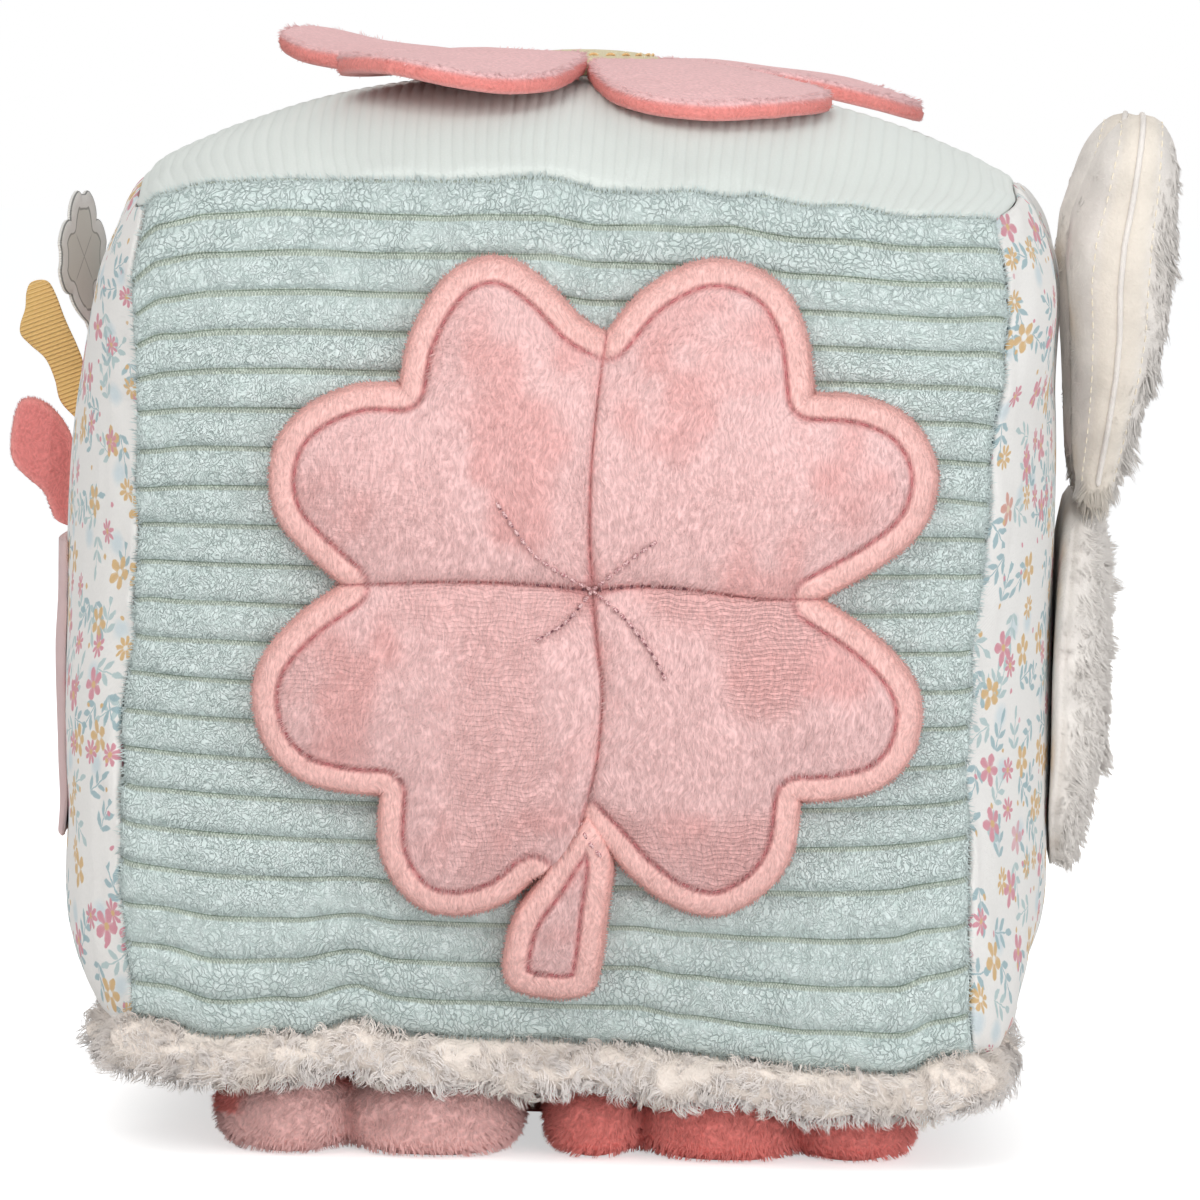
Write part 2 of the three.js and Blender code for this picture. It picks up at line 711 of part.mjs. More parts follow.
// Bunny: a stuffed head sewn to the right side, with two ears that flop
function addBunny() {
  const headOutline = [];
  for (let step = 0; step < headSegments; step += 1) {
    const angle = (2 * Math.PI * step) / headSegments;
    const cheek = 1 - headCheekShare * Math.sin(angle);
    headOutline.push([headHalfWidth * Math.cos(angle) * cheek, headHalfHeight * Math.sin(angle)]);
  }
  const rimStand = (headSwell - headRim) / 2;
  const placeAt = (u, v, height) => {
    const stand = skinHeight(sides.right, headBack + u, headLevel + v - blockCentre.z) + fitGap;
    return new THREE.Vector3(stand + height, headBack + u, headLevel + v);
  };
  const head = paddedGeometry({
    outline: headOutline,
    middle: [0, 0],
    topRingShares: [1, 0.92, 0.76, 0.5, 0.25],
    bottomRingShares: [1, 0.85, 0.6, 0.3],
    topAt: (u, v, ringShare) => rimStand + headRim + (headSwell - rimStand - headRim) * domeShare(ringShare),
    bottomAt: (u, v, ringShare) => rimStand * (1 - domeShare(ringShare)),
    placeAt,
  });
  addPiece('bunny_head', head, 'longPlush');
  const headTop = placeAt(0, headHalfHeight, rimStand + headRim / 2);
  const earOutline = mirroredOutline(earShares, earLength, earHalfWidth);
  earOutline.splice(earShares.length, 0, [0, earLength]);
  const ears = [['bunny_ear_near', -earBack, nearEarLean], ['bunny_ear_far', earBack, farEarLean]];
  for (const [name, back, lean] of ears) {
    const level = headTop.z - headHalfHeight * (1 - Math.sqrt(1 - (earBack / headHalfWidth) ** 2));
    const root = new THREE.Vector3(headTop.x, back, level + hingeGap);
    const splay = THREE.MathUtils.degToRad(earSplayDegrees) * Math.sign(back);
    const halfThickness = (v, ringShare) => {
      const swell = Math.min(1, v / earSwellLength);
      const full = earRootHalfThickness + (earHalfThickness - earRootHalfThickness) * swell;
      return earRimHalf + (full - earRimHalf) * domeShare(ringShare);
    };
    const ear = paddedGeometry({
      outline: earOutline,
      middle: [0, earLength * earMiddleShare],
      topRingShares: [1, 0.88, 0.66, 0.33],
      bottomRingShares: [1, 0.88, 0.66, 0.33],
      topAt: (u, v, ringShare) => halfThickness(v, ringShare),
      bottomAt: (u, v, ringShare) => -halfThickness(v, ringShare),
      placeAt: (u, v, height) => {
        const outward = lean * Math.max(0, v / earLength) ** earCurlShare;
        const sideways = u * Math.cos(splay) + v * Math.sin(splay);
        const rise = v * Math.cos(splay) - u * Math.sin(splay);
        return new THREE.Vector3(root.x + outward + height, root.y + sideways, root.z + rise);
      },
    });
    addPiece(name, ear, 'longPlush', root);
  }
}

// Flap: a padded cloth page that hangs from its top edge
function addFlap() {
  const outline = [];
  for (let step = 0; step <= flapSideSteps; step += 1) {
    outline.push([flapHalfWidth, (flapLength - flapCorner) * (step / flapSideSteps)]);
  }
  for (let step = 1; step <= flapCornerSteps; step += 1) {
    const angle = (Math.PI / 2) * (step / flapCornerSteps);
    const across = flapHalfWidth - flapCorner * (1 - Math.cos(angle));
    outline.push([across, flapLength - flapCorner * (1 - Math.sin(angle))]);
  }
  const mirrored = outline.map(([across, down]) => [-across, down]).reverse();
  const bottomMiddle = [0, flapLength];
  const topMiddle = [0, 0];
  const placeAt = (u, v, height) => {
    const level = flapTopLevel - v;
    const wall = skinHeight(sides.left, flapBack + u, Math.max(0, level - blockCentre.z));
    return new THREE.Vector3(-(wall + flapGap + height), flapBack + u, level);
  };
  const flap = paddedGeometry({
    outline: [...outline, bottomMiddle, ...mirrored, topMiddle],
    middle: [0, flapLength / 2],
    topRingShares: [1, 0.9, 0.5],
    bottomRingShares: [1, 0.7, 0.35],
    topAt: (u, v, ringShare) => flapRim + (flapSwell - flapRim) * domeShare(ringShare),
    bottomAt: () => 0,
    placeAt,
  });
  addPiece('side_flap', flap, 'palePinkCotton', placeAt(0, 0, flapRim / 2));
}

// Two tags that stand out edgeways from the left side
function addUprightTag(name, finishName, tag) {
  const placeAt = (u, v, height) => {
    const level = tag.level + v;
    const wall = skinHeight(sides.left, tag.back, level - blockCentre.z);
    return new THREE.Vector3(-(wall + hingeGap + u), tag.back + height, level);
  };
  const halfThickness = (u, ringShare) => {
    const full = THREE.MathUtils.lerp(tagRootHalfThickness, tag.halfThickness, Math.min(1, u / tagSwellLength));
    return full * (tagRimShare + (1 - tagRimShare) * domeShare(ringShare));
  };
  const geometry = paddedGeometry({
    outline: outlineFromShares(tag.shares, tag.reach, tag.height),
    middle: [tag.middleShares[0] * tag.reach, tag.middleShares[1] * tag.height],
    topRingShares: [1, 0.8, 0.4],
    bottomRingShares: [1, 0.8, 0.4],
    topAt: (u, v, ringShare) => halfThickness(u, ringShare),
    bottomAt: (u, v, ringShare) => -halfThickness(u, ringShare),
    placeAt,
  });
  addPiece(name, geometry, finishName, placeAt(0, 0, 0));
}

// Small clover-shaped tag that stands up beside the ribbon
function addCloverTag() {
  const outline = [[cloverTagStemHalfWidth, -cloverTagStem], [-cloverTagStemHalfWidth, -cloverTagStem]];
  const stemAngle = Math.asin(cloverTagStemHalfWidth / (cloverTagRadius * cloverTagWaistShare));
  for (let step = 0; step <= cloverTagSegments; step += 1) {
    const swing = stemAngle + (2 * Math.PI - 2 * stemAngle) * (step / cloverTagSegments);
    const angle = -Math.PI / 2 - swing;
    const lobe = cloverTagWaistShare + (1 - cloverTagWaistShare) * Math.abs(Math.sin(2 * angle));
    outline.push([cloverTagRadius * lobe * Math.cos(angle), cloverTagRadius * lobe * Math.sin(angle)]);
  }
  const turn = THREE.MathUtils.degToRad(cloverTagTurnDegrees);
  const wall = skinHeight(sides.left, cloverTagBack, cloverTagLevel - blockCentre.z);
  const placeAt = (u, v, height) => {
    const rise = v + cloverTagStem;
    const outward = cloverTagGap + height + cloverTagLeanShare * rise - u * Math.sin(turn);
    const root = cloverTagBack + u * Math.cos(turn);
    return new THREE.Vector3(-(wall + outward), root, cloverTagLevel + rise);
  };
  const geometry = paddedGeometry({
    outline,
    middle: [0, 0],
    topRingShares: [1, 0.5],
    bottomRingShares: [1, 0.5],
    topAt: () => cloverTagThickness,
    bottomAt: () => 0,
    placeAt,
  });
  addPiece('clover_tag', geometry, 'greyTwill', placeAt(0, -cloverTagStem, cloverTagThickness));
}

// Butterfly: a stuffed body and four stuffed wings, flat where they rest
function addButterfly() {
  const bodyOutline = [];
  for (let step = 0; step < butterflySegments; step += 1) {
    const angle = (2 * Math.PI * step) / butterflySegments;
    const acrossShare = Math.sign(Math.cos(angle)) * Math.abs(Math.cos(angle)) ** butterflyEndShare;
    const sideShare = Math.sign(Math.sin(angle)) * Math.abs(Math.sin(angle)) ** butterflySideShare;
    bodyOutline.push([butterflyHalfLength * acrossShare, butterflyHalfWidth * sideShare]);
  }
  const upperRise = butterflyHeight - butterflyRimLevel;
  const lowerDrop = butterflyRimLevel + underCut;
  const body = paddedGeometry({
    outline: bodyOutline,
    middle: [0, 0],
    topRingShares: [1, 0.9, 0.7, 0.35],
    bottomRingShares: [1, 0.9, 0.7, 0.35],
    topAt: (u, v, ringShare) => butterflyRimLevel + butterflyRimHalf
      + (upperRise - butterflyRimHalf) * domeShare(ringShare),
    bottomAt: (u, v, ringShare) => {
      const level = butterflyRimLevel - butterflyRimHalf - (lowerDrop - butterflyRimHalf) * domeShare(ringShare);
      return Math.max(0, level);
    },
    placeAt: (u, v, height) => new THREE.Vector3(butterflyAcross + u, v, height),
  });
  addPiece('butterfly_body', body, 'palePinkPlush');
  const outline = mirroredOutline(wingShares, wingLength, wingHalfWidth);
  const wings = [
    ['wing_near_left', leftWingAcross, -1, 'palePinkPlush'],
    ['wing_near_right', rightWingAcross, -1, 'coralPlush'],
    ['wing_far_left', leftWingAcross, 1, 'palePinkPlush'],
    ['wing_far_right', rightWingAcross, 1, 'coralPlush'],
  ];
  const halfRise = (v, ringShare) => {
    const swell = Math.min(1, v / wingSwellLength);
    const full = wingRootHalf + (wingRise + underCut - wingRootHalf) * swell;
    return wingRootHalf + (full - wingRootHalf) * domeShare(ringShare) + wingRimHalf * swell * ringShare;
  };
  for (const [name, across, direction, finishName] of wings) {
    const placeAt = (u, v, height) => {
      const reach = butterflyHalfWidth + hingeGap + v;
      return new THREE.Vector3(across + u, direction * reach, Math.max(0, height));
    };
    const wing = paddedGeometry({
      outline,
      middle: [0, wingLength * wingMiddleShare],
      topRingShares: [1, 0.9, 0.7, 0.35],
      bottomRingShares: [1, 0.9, 0.7, 0.35],
      topAt: (u, v, ringShare) => butterflyRimLevel + halfRise(v, ringShare),
      bottomAt: (u, v, ringShare) => butterflyRimLevel - halfRise(v, ringShare),
      placeAt,
    });
    addPiece(name, wing, finishName, placeAt(0, 0, butterflyRimLevel));
  }
}

addCover();
addStuffing();
addRattle();
addClover();
addFlower();
addBunny();
addFlap();
addUprightTag('plush_tab', 'coralPlush', {
  level: plushTabLevel,
  back: plushTabBack,
  reach: plushTabReach,
  height: plushTabHeight,
  halfThickness: plushTabHalfThickness,
  shares: plushTabShares,
  middleShares: plushTabMiddleShares,
});
addUprightTag('ribbon_tag', 'mustardRibbon', {
  level: ribbonTagLevel,
  back: ribbonTagBack,
  reach: ribbonTagReach,
  height: ribbonTagHeight,
  halfThickness: ribbonTagHalfThickness,
  shares: ribbonTagShares,
  middleShares: ribbonTagMiddleShares,
});
addCloverTag();
addButterfly();

export default group;
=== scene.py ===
# Finished look of a stuffed fabric activity block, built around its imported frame.
# Lengths are in millimetres until a mesh is made. The clover side faces -Y.
import json
import math

import bpy
import numpy as np
from mathutils import Matrix, kdtree


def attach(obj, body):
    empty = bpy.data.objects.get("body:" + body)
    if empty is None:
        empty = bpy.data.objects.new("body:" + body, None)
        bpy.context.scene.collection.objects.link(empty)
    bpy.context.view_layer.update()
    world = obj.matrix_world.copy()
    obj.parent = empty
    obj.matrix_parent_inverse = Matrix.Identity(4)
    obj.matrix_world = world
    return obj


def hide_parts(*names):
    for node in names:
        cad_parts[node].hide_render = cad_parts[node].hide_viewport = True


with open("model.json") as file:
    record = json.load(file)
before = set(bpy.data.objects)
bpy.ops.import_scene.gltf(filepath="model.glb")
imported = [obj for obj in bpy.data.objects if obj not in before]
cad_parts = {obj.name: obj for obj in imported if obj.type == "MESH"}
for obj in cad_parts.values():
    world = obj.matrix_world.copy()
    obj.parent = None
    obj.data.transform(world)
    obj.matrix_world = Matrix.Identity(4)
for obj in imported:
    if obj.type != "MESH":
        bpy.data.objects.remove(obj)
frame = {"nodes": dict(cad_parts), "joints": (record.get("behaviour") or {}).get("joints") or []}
scene = bpy.context.scene
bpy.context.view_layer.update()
mm = 0.001
# where each moving piece is hinged
hinges = {joint["child"]: np.array(joint["pos_m"]) / mm for joint in frame["joints"]}
print("frame loaded with", len(frame["nodes"]), "nodes")


# Number helpers

def unit(vectors):
    return vectors / np.maximum(np.linalg.norm(vectors, axis=-1, keepdims=True), 1e-9)


def fade(values, low, high):
    share = np.clip((values - low) / (high - low), 0, 1)
    return share * share * (3 - 2 * share)


def fadeOut(values, low, high):
    return 1 - fade(values, low, high)


def flow(table, values):
    # a soft curve through (place, height) pairs
    places, heights = np.array(table, float).T
    spot = np.clip(np.searchsorted(places, values) - 1, 0, len(places) - 2)
    share = fade(values, places[spot], places[spot + 1])
    return heights[spot] + (heights[spot + 1] - heights[spot]) * share


def slope(table, values):
    # straight lines from one (place, height) pair to the next
    return np.interp(values, *np.array(table, float).T)


def lumps(points, size, seed):
    # smooth random heights from -1 to 1, about size millimetres from lump to lump
    count = 32
    grid = np.random.RandomState(seed).uniform(-1, 1, (count,) * 3)
    place = points / size
    cell = np.floor(place).astype(int)
    share = place - cell
    share = share * share * (3 - 2 * share)
    total = np.zeros(points.shape[:-1])
    for corner in np.ndindex(2, 2, 2):
        weight = np.prod(np.where(corner, share, 1 - share), axis=-1)
        at = (cell + corner) % count
        total += weight * grid[at[..., 0], at[..., 1], at[..., 2]]
    return total


def lumpVectors(points, size, seed):
    return np.stack([lumps(points, size, seed + axis) for axis in range(3)], axis=-1)


def pebbles(flat, size, seed):
    # how far each place is from the nearest crack between pebbles, in pebble widths
    count = 64
    jitter = np.random.RandomState(seed).uniform(0, 1, (count, count, 2))
    place = flat / size
    cell = np.floor(place).astype(int)
    near = np.full(flat.shape[:-1], 9.0)
    second = near.copy()
    for step in np.ndindex(3, 3):
        other = cell + step - np.array([1, 1])
        seedPlace = other + jitter[other[..., 0] % count, other[..., 1] % count]
        gap = np.linalg.norm(place - seedPlace, axis=-1)
        second = np.minimum(second, np.maximum(near, gap))
        near = np.minimum(near, gap)
    return second - near


def smoothPath(points, step=0.7):
    # a round curve through given points, as points about step apart
    points = np.array(points, float)
    padded = np.vstack([2 * points[0] - points[1], points, 2 * points[-1] - points[-2]])
    out = []
    for a, b, c, d in zip(padded, padded[1:], padded[2:], padded[3:]):
        t = np.linspace(0, 1, max(2, int(np.linalg.norm(c - b) / step) + 1))[:-1, None]
        out.append(b + t * (c - a) / 2 + t ** 2 * (a - 2.5 * b + 2 * c - d / 2)
                   + t ** 3 * (1.5 * (b - c) + (d - a) / 2))
    return np.vstack(out + [points[-1:]])


def closed(line):
    return np.vstack([line, line[:1]])


def mirrored(half):
    # the whole of an outline from its right half, bottom to top or top to bottom
    return np.vstack([half, half[-2::-1] * np.array([-1, 1])])


def sameBothSides(halfShape, halfWidth, length, step):
    # an outline from (share of the length, share of the half width) pairs
    half = np.array(halfShape)[:, ::-1] * (halfWidth, length)
    return mirrored(smoothPath(half, step))


def joined(*parts):
    return np.stack(parts, axis=-1)


def onLevel(flat):
    # flat places as points of a level plane
    return np.concatenate([flat, np.zeros(flat.shape[:-1] + (1,))], axis=-1)


def edgeRound(distance, reach):
    # from 0 at an edge up to 1 at reach from it, like a quarter of a circle
    return np.sqrt(1 - (1 - np.clip(distance / reach, 0, 1)) ** 2)


def noHeight(places):
    return np.zeros(len(places))


def closestGap(places, line):
    # distance of each place from a polyline
    best = np.full(len(places), 1e9)
    for start, end in zip(line[:-1], line[1:]):
        along = end - start
        share = np.clip(((places - start) @ along) / max(along @ along, 1e-9), 0, 1)
        best = np.minimum(best, np.linalg.norm(places - start - share[:, None] * along, axis=1))
    return best


def tone(red, green, blue):
    # a screen colour as the renderer counts it
    shown = np.array([red, green, blue], float)
    return np.where(shown <= 0.04045, shown / 12.92, ((shown + 0.055) / 1.055) ** 2.4)


def blend(tint, other, share):
    return tint + (other - tint) * share[:, None]


def paint(red, green, blue):
    return (*tone(red, green, blue), 1.0)


# Mesh helpers

def meshPiece(name, shape, material, attributes=None, normals=None):
    # one Blender object from arrays; mapped holds a flat place for every face corner
    points, mapped = shape["points"], shape.get("mapped")
    quads = np.array(shape["quads"], np.int32).reshape(-1, 4)
    tris = np.array(shape["tris"], np.int32).reshape(-1, 3)
    corners = np.concatenate([quads.ravel(), tris.ravel()])
    starts = np.concatenate([np.arange(len(quads)) * 4, len(quads) * 4 + np.arange(len(tris)) * 3])
    mesh = bpy.data.meshes.new(name)
    mesh.vertices.add(len(points))
    mesh.vertices.foreach_set("co", (points * mm).astype(np.float32).ravel())
    mesh.loops.add(len(corners))
    mesh.loops.foreach_set("vertex_index", corners.astype(np.int32))
    mesh.polygons.add(len(starts))
    mesh.polygons.foreach_set("loop_start", starts.astype(np.int32))
    mesh.update(calc_edges=True)
    mesh.polygons.foreach_set("use_smooth", np.ones(len(starts), bool))
    for key, values in (attributes or {}).items():
        values = np.asarray(values, np.float32)
        if values.ndim == 1:
            mesh.attributes.new(key, "FLOAT", "POINT").data.foreach_set("value", values)
        elif key == "tint":
            full = np.concatenate([values[:, :3], np.ones((len(values), 1), np.float32)], axis=1)
            mesh.attributes.new(key, "FLOAT_COLOR", "POINT").data.foreach_set("color", full.ravel())
        else:
            mesh.attributes.new(key, "FLOAT_VECTOR", "POINT").data.foreach_set("vector", values.ravel())
    if mapped is not None:
        layer = mesh.uv_layers.new(name="OFBake")
        layer.data.foreach_set("uv", np.asarray(mapped, np.float32).ravel())
    mesh.materials.append(material)
    if normals is not None:
        mesh.normals_split_custom_set_from_vertices(unit(normals).astype(np.float32))
    piece = bpy.data.objects.new(name, mesh)
    scene.collection.objects.link(piece)
    return piece


def turnedOut(points, quads, tris):
    # flips every face where the closed body would have its faces pointing in
    volume = 0.0
    for faces in (quads[:, [0, 1, 2]], quads[:, [0, 2, 3]], tris):
        a, b, c = (points[faces[:, corner]] for corner in range(3))
        volume += float((a * np.cross(b, c)).sum())
    return (quads, tris) if volume > 0 else (quads[:, ::-1], tris[:, ::-1])


def normalsOf(piece):
    found = np.zeros(len(piece.data.vertices) * 3, np.float32)
    piece.data.vertex_normals.foreach_get("vector", found)
    return found.reshape(-1, 3).astype(float)


def settlePiece(piece, body, nodes=()):
    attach(piece, body)
    if nodes:
        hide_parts(*nodes)


def paddedPatch(outline, middle, topShares, bottomShares, topAt, bottomAt, placeAt, wallRows=4,
                wallBulge=0.5):
    # a closed padded shape: rings inside an outline, a rounded side wall and an underside
    outline = np.asarray(outline, float)
    middle = np.asarray(middle, float)
    count = len(outline)
    edge = np.roll(outline, -1, 0) - np.roll(outline, 1, 0)
    outward = unit(joined(edge[:, 1], -edge[:, 0]))
    if ((outline - middle) * outward).sum() < 0:
        outward = -outward
    topRows = [middle + (outline - middle) * share for share in topShares]
    bottomRows = [middle + (outline - middle) * share for share in bottomShares]
    topHeights = [topAt(row) for row in topRows]
    bottomHeights = [bottomAt(row) for row in bottomRows]
    rows, heights, swell = topRows[:], topHeights[:], [0.0] * len(topRows)
    for share in np.linspace(0, 1, wallRows + 2)[1:-1]:
        rows.append(outline + outward * wallBulge * math.sin(math.pi * share))
        heights.append(topHeights[-1] * (1 - share) + bottomHeights[0] * share)
        swell.append(share)
    rows += bottomRows
    heights += bottomHeights
    swell += [1.0] * len(bottomRows)
    places = np.vstack([middle[None], *rows, middle[None]])
    height = np.concatenate([topAt(middle[None]), *heights, bottomAt(middle[None])])
    points = placeAt(places[:, 0], places[:, 1], height)
    last = len(points) - 1
    around = np.arange(count)
    after = (around + 1) % count
    quads = []
    for row in range(len(rows) - 1):
        a = 1 + row * count
        quads.append(joined(a + around, a + after, a + count + after, a + count + around))
    quads = np.vstack(quads)
    endRow = 1 + (len(rows) - 1) * count
    tris = np.vstack([
        joined(np.zeros(count, int), 1 + after, 1 + around),
        joined(np.full(count, last), endRow + around, endRow + after),
    ])
    # flat map: the upper side on the left half, the underside on the right half
    reach = 2.2 * np.abs(outline - middle).max()
    fromMiddle = (places - middle) / reach
    swell = np.concatenate([[0], np.repeat(swell, count), [1]])
    upper = 0.5 + fromMiddle * (0.9 + 0.15 * swell[:, None])
    upper[:, 0] *= 0.5
    lower = 0.5 + fromMiddle * 0.9
    lower[:, 0] = lower[:, 0] * 0.5 + 0.5
    upperRows = len(topRows) + wallRows
    isUpper = np.concatenate([
        np.repeat(np.arange(len(quads)) < upperRows * count, 4),
        np.repeat(np.arange(len(tris)) < count, 3),
    ])
    quads, tris = turnedOut(points, quads, tris)
    corners = np.concatenate([quads.ravel(), tris.ravel()])
    mapped = np.where(isUpper[:, None], upper[corners], lower[corners])
    return {"points": points, "quads": quads, "tris": tris, "mapped": mapped, "flat": places,
            "height": height, "wall": swell}


def evenTint(patch, tint):
    return np.tile(tint, (len(patch["points"]), 1))


def spindles(paths, radii, sides=3):
    # closed threads, one for each path, pointed at both ends with a ring at each point between
    count, steps = paths.shape[:2]
    rings = steps - 2
    tangent = unit(paths[:, 2:] - paths[:, :-2])
    start = tangent[:, :1]
    helper = np.where(np.abs(start[..., 2:]) < 0.8, [0.0, 0.0, 1.0], [1.0, 0.0, 0.0])
    first = unit(np.cross(tangent, helper))
    second = np.cross(tangent, first)
    angle = 2 * math.pi * np.arange(sides) / sides
    outward = np.cos(angle)[:, None] * first[:, :, None] + np.sin(angle)[:, None] * second[:, :, None]
    radii = np.broadcast_to(radii, (count, rings))
    ringPoints = paths[:, 1:-1, None] + outward * radii[..., None, None]
    points = np.concatenate([paths[:, :1], ringPoints.reshape(count, -1, 3), paths[:, -1:]], axis=1)
    normals = np.concatenate([-tangent[:, :1], outward.reshape(count, -1, 3), tangent[:, -1:]], axis=1)
    size = rings * sides + 2
    quads, tris = [], []
    for side in range(sides):
        after = (side + 1) % sides
        tris += [[0, 1 + after, 1 + side], [size - 1, size - 1 - sides + side, size - 1 - sides + after]]
        for ring in range(rings - 1):
            low = 1 + ring * sides
            quads.append([low + side, low + after, low + sides + after, low + sides + side])
    quads, tris = turnedOut(points[0], np.array(quads).reshape(-1, 4), np.array(tris))
    offset = size * np.arange(count)[:, None, None]
    along = np.concatenate([[0], np.repeat(np.arange(1, rings + 1), sides), [steps - 1]]) / (steps - 1)
    around = np.concatenate([[0.5], np.tile(np.arange(sides) / (sides - 1), rings), [0.5]])
    columns = int(math.sqrt(count)) + 1
    cell = joined(np.arange(count) % columns, np.arange(count) // columns)[:, None]
    spots = (cell + 0.08 + 0.84 * joined(around, along)) / columns
    allQuads = (quads + offset).reshape(-1, 4)
    allTris = (tris + offset).reshape(-1, 3)
    corners = np.concatenate([allQuads.ravel(), allTris.ravel()])
    return {"points": points.reshape(-1, 3), "normals": normals.reshape(-1, 3), "quads": allQuads,
            "tris": allTris, "mapped": spots.reshape(-1, 2)[corners], "along": np.tile(along, count),
            "size": size}


def lockLeaders(roots, strands):
    # for each strand, the nearest of the few that lead a lock
    tree = kdtree.KDTree(len(roots) // strands + 1)
    for leader in range(0, len(roots), strands):
        tree.insert(roots[leader], leader)
    tree.balance()
    return np.array([tree.find(root)[1] for root in roots])


usualPile = {"vary": 0.35, "steps": 4, "curl": 0, "turns": 0, "droop": 0, "lock": 0, "gather": 0,
             "tintVary": 0.06, "rootShade": 0.93, "tipLight": 0.05, "softness": 0.9}


def growPile(name, base, pile, material, seed, lean, weight=None, reach=None, facing=None):
    # a coat of fibres: one closed spindle for each root scattered over the base mesh
    pile = {**usualPile, **pile}
    chance = np.random.RandomState(seed)
    points, quads = base["points"], base["quads"]
    a, b, c, d = (points[quads[:, corner]] for corner in range(4))
    area = np.linalg.norm(np.cross(c - a, d - b), axis=1) / 2
    if weight is not None:
        area = area * weight[quads].mean(axis=1)
    count = int(area.sum() * pile["perSquare"])
    pick = quads[chance.choice(len(quads), count, p=area / area.sum())]
    u, v = chance.rand(2, count, 1)

    def spread(values):
        return (values[pick[:, 0]] * (1 - u) * (1 - v) + values[pick[:, 1]] * u * (1 - v)
                + values[pick[:, 2]] * u * v + values[pick[:, 3]] * (1 - u) * v)

    roots, normals, tint = spread(points), unit(spread(base["normals"])), spread(base["tint"])
    direction = unit(lean(roots, normals))
    direction = unit(direction + pile["stray"] * chance.normal(0, 1, (count, 3)))
    length = pile["length"] * (1 + pile["vary"] * chance.uniform(-1, 1, count))[:, None, None]
    if reach is not None:
        length = length * spread(reach[:, None])[:, None]
    steps = pile["steps"]
    share = np.linspace(0, 1, steps)[None, :, None]
    side = unit(np.cross(direction, normals) + 1e-3)
    other = np.cross(direction, side)
    turn = 2 * math.pi * (pile["turns"] * share + chance.rand(count, 1, 1))
    if pile["lock"]:
        leader = lockLeaders(roots, pile["lock"])
        turn = turn[leader]
    firstTurn = turn[:, :1]
    curl = pile["curl"] * share ** 0.5
    paths = roots[:, None] - normals[:, None] * pile["sunk"] + direction[:, None] * length * share
    paths = paths + curl * ((np.cos(turn) - np.cos(firstTurn)) * side[:, None]
                            + (np.sin(turn) - np.sin(firstTurn)) * other[:, None])
    paths[..., 2] -= (pile["droop"] * length * share ** 2)[..., 0]
    if pile["lock"]:
        paths = paths + pile["gather"] * share ** 1.4 * (paths[leader] - paths)
    paths[..., 2] = np.maximum(paths[..., 2], pile["width"] + 0.1)
    radii = pile["width"] / 2 * (1 - 0.65 * share[:, 1:-1, 0] ** 1.5)
    made = spindles(paths, radii)
    size = made["size"]
    along = made["along"][:, None]
    varied = np.repeat(tint * (1 + pile["tintVary"] * chance.uniform(-1, 1, (count, 1))), size, axis=0)
    colours = varied * (pile["rootShade"] + (1 - pile["rootShade"]) * fade(along, 0.0, 0.75))
    colours = colours * (1 + pile["tipLight"] * along)
    soft = normals if facing is None else unit(facing(roots, normals))
    shading = np.repeat(soft, size, axis=0) * pile["softness"] + made["normals"] * (1 - pile["softness"])
    return meshPiece(name, made, material, {"tint": colours}, shading)


def baseOf(piece, patch, tint):
    return {"points": patch["points"], "quads": patch["quads"], "normals": normalsOf(piece), "tint": tint}


def standing(spots, way):
    # a run of stitch places with one and the same direction up
    return spots, np.tile(np.array(way, float), (len(spots), 1))


def threadPiece(name, runs, thread, material):
    # sewn stitches: short arched threads along each run of points with their normals
    paths = []
    for line, normals in runs:
        gaps = np.linalg.norm(np.diff(line, axis=0), axis=1)
        distance = np.concatenate([[0], np.cumsum(gaps)])
        total = max(1, int(distance[-1] / thread["pitch"]))
        pitch = distance[-1] / total
        for stitch in range(total):
            share = np.linspace(0.04, 0.96, 7)
            at = (stitch + share * thread["fill"] + (1 - thread["fill"]) / 2) * pitch
            spot = np.stack([np.interp(at, distance, line[:, axis]) for axis in range(3)], axis=1)
            up = np.stack([np.interp(at, distance, normals[:, axis]) for axis in range(3)], axis=1)
            arch = thread["rise"] * np.sin(math.pi * (at - at[0]) / (at[-1] - at[0])) - thread["sunk"]
            paths.append(spot + up * arch[:, None])
    made = spindles(np.array(paths), thread["width"] / 2 * np.array([0.8, 1, 1, 1, 0.8]), 5)
    return meshPiece(name, made, material, normals=made["normals"])


# Material helpers

class Wire:
    # one value inside a material, reckoned with like a number or a place
    def __init__(self, look, socket):
        self.look, self.socket = look, socket
        self.wide = socket.type in ("VECTOR", "RGBA")

    def __add__(self, other):
        return self.look.reckon("ADD", self, other)

    def __sub__(self, other):
        return self.look.reckon("SUBTRACT", self, other)

    def __rsub__(self, other):
        return self.look.reckon("SUBTRACT", other, self)

    def __mul__(self, other):
        return self.look.reckon("MULTIPLY", self, other)

    def __truediv__(self, other):
        return self.look.reckon("DIVIDE", self, other)

    def __pow__(self, other):
        return self.look.reckon("POWER", self, other)

    def __abs__(self):
        return self.look.reckon("ABSOLUTE", self)


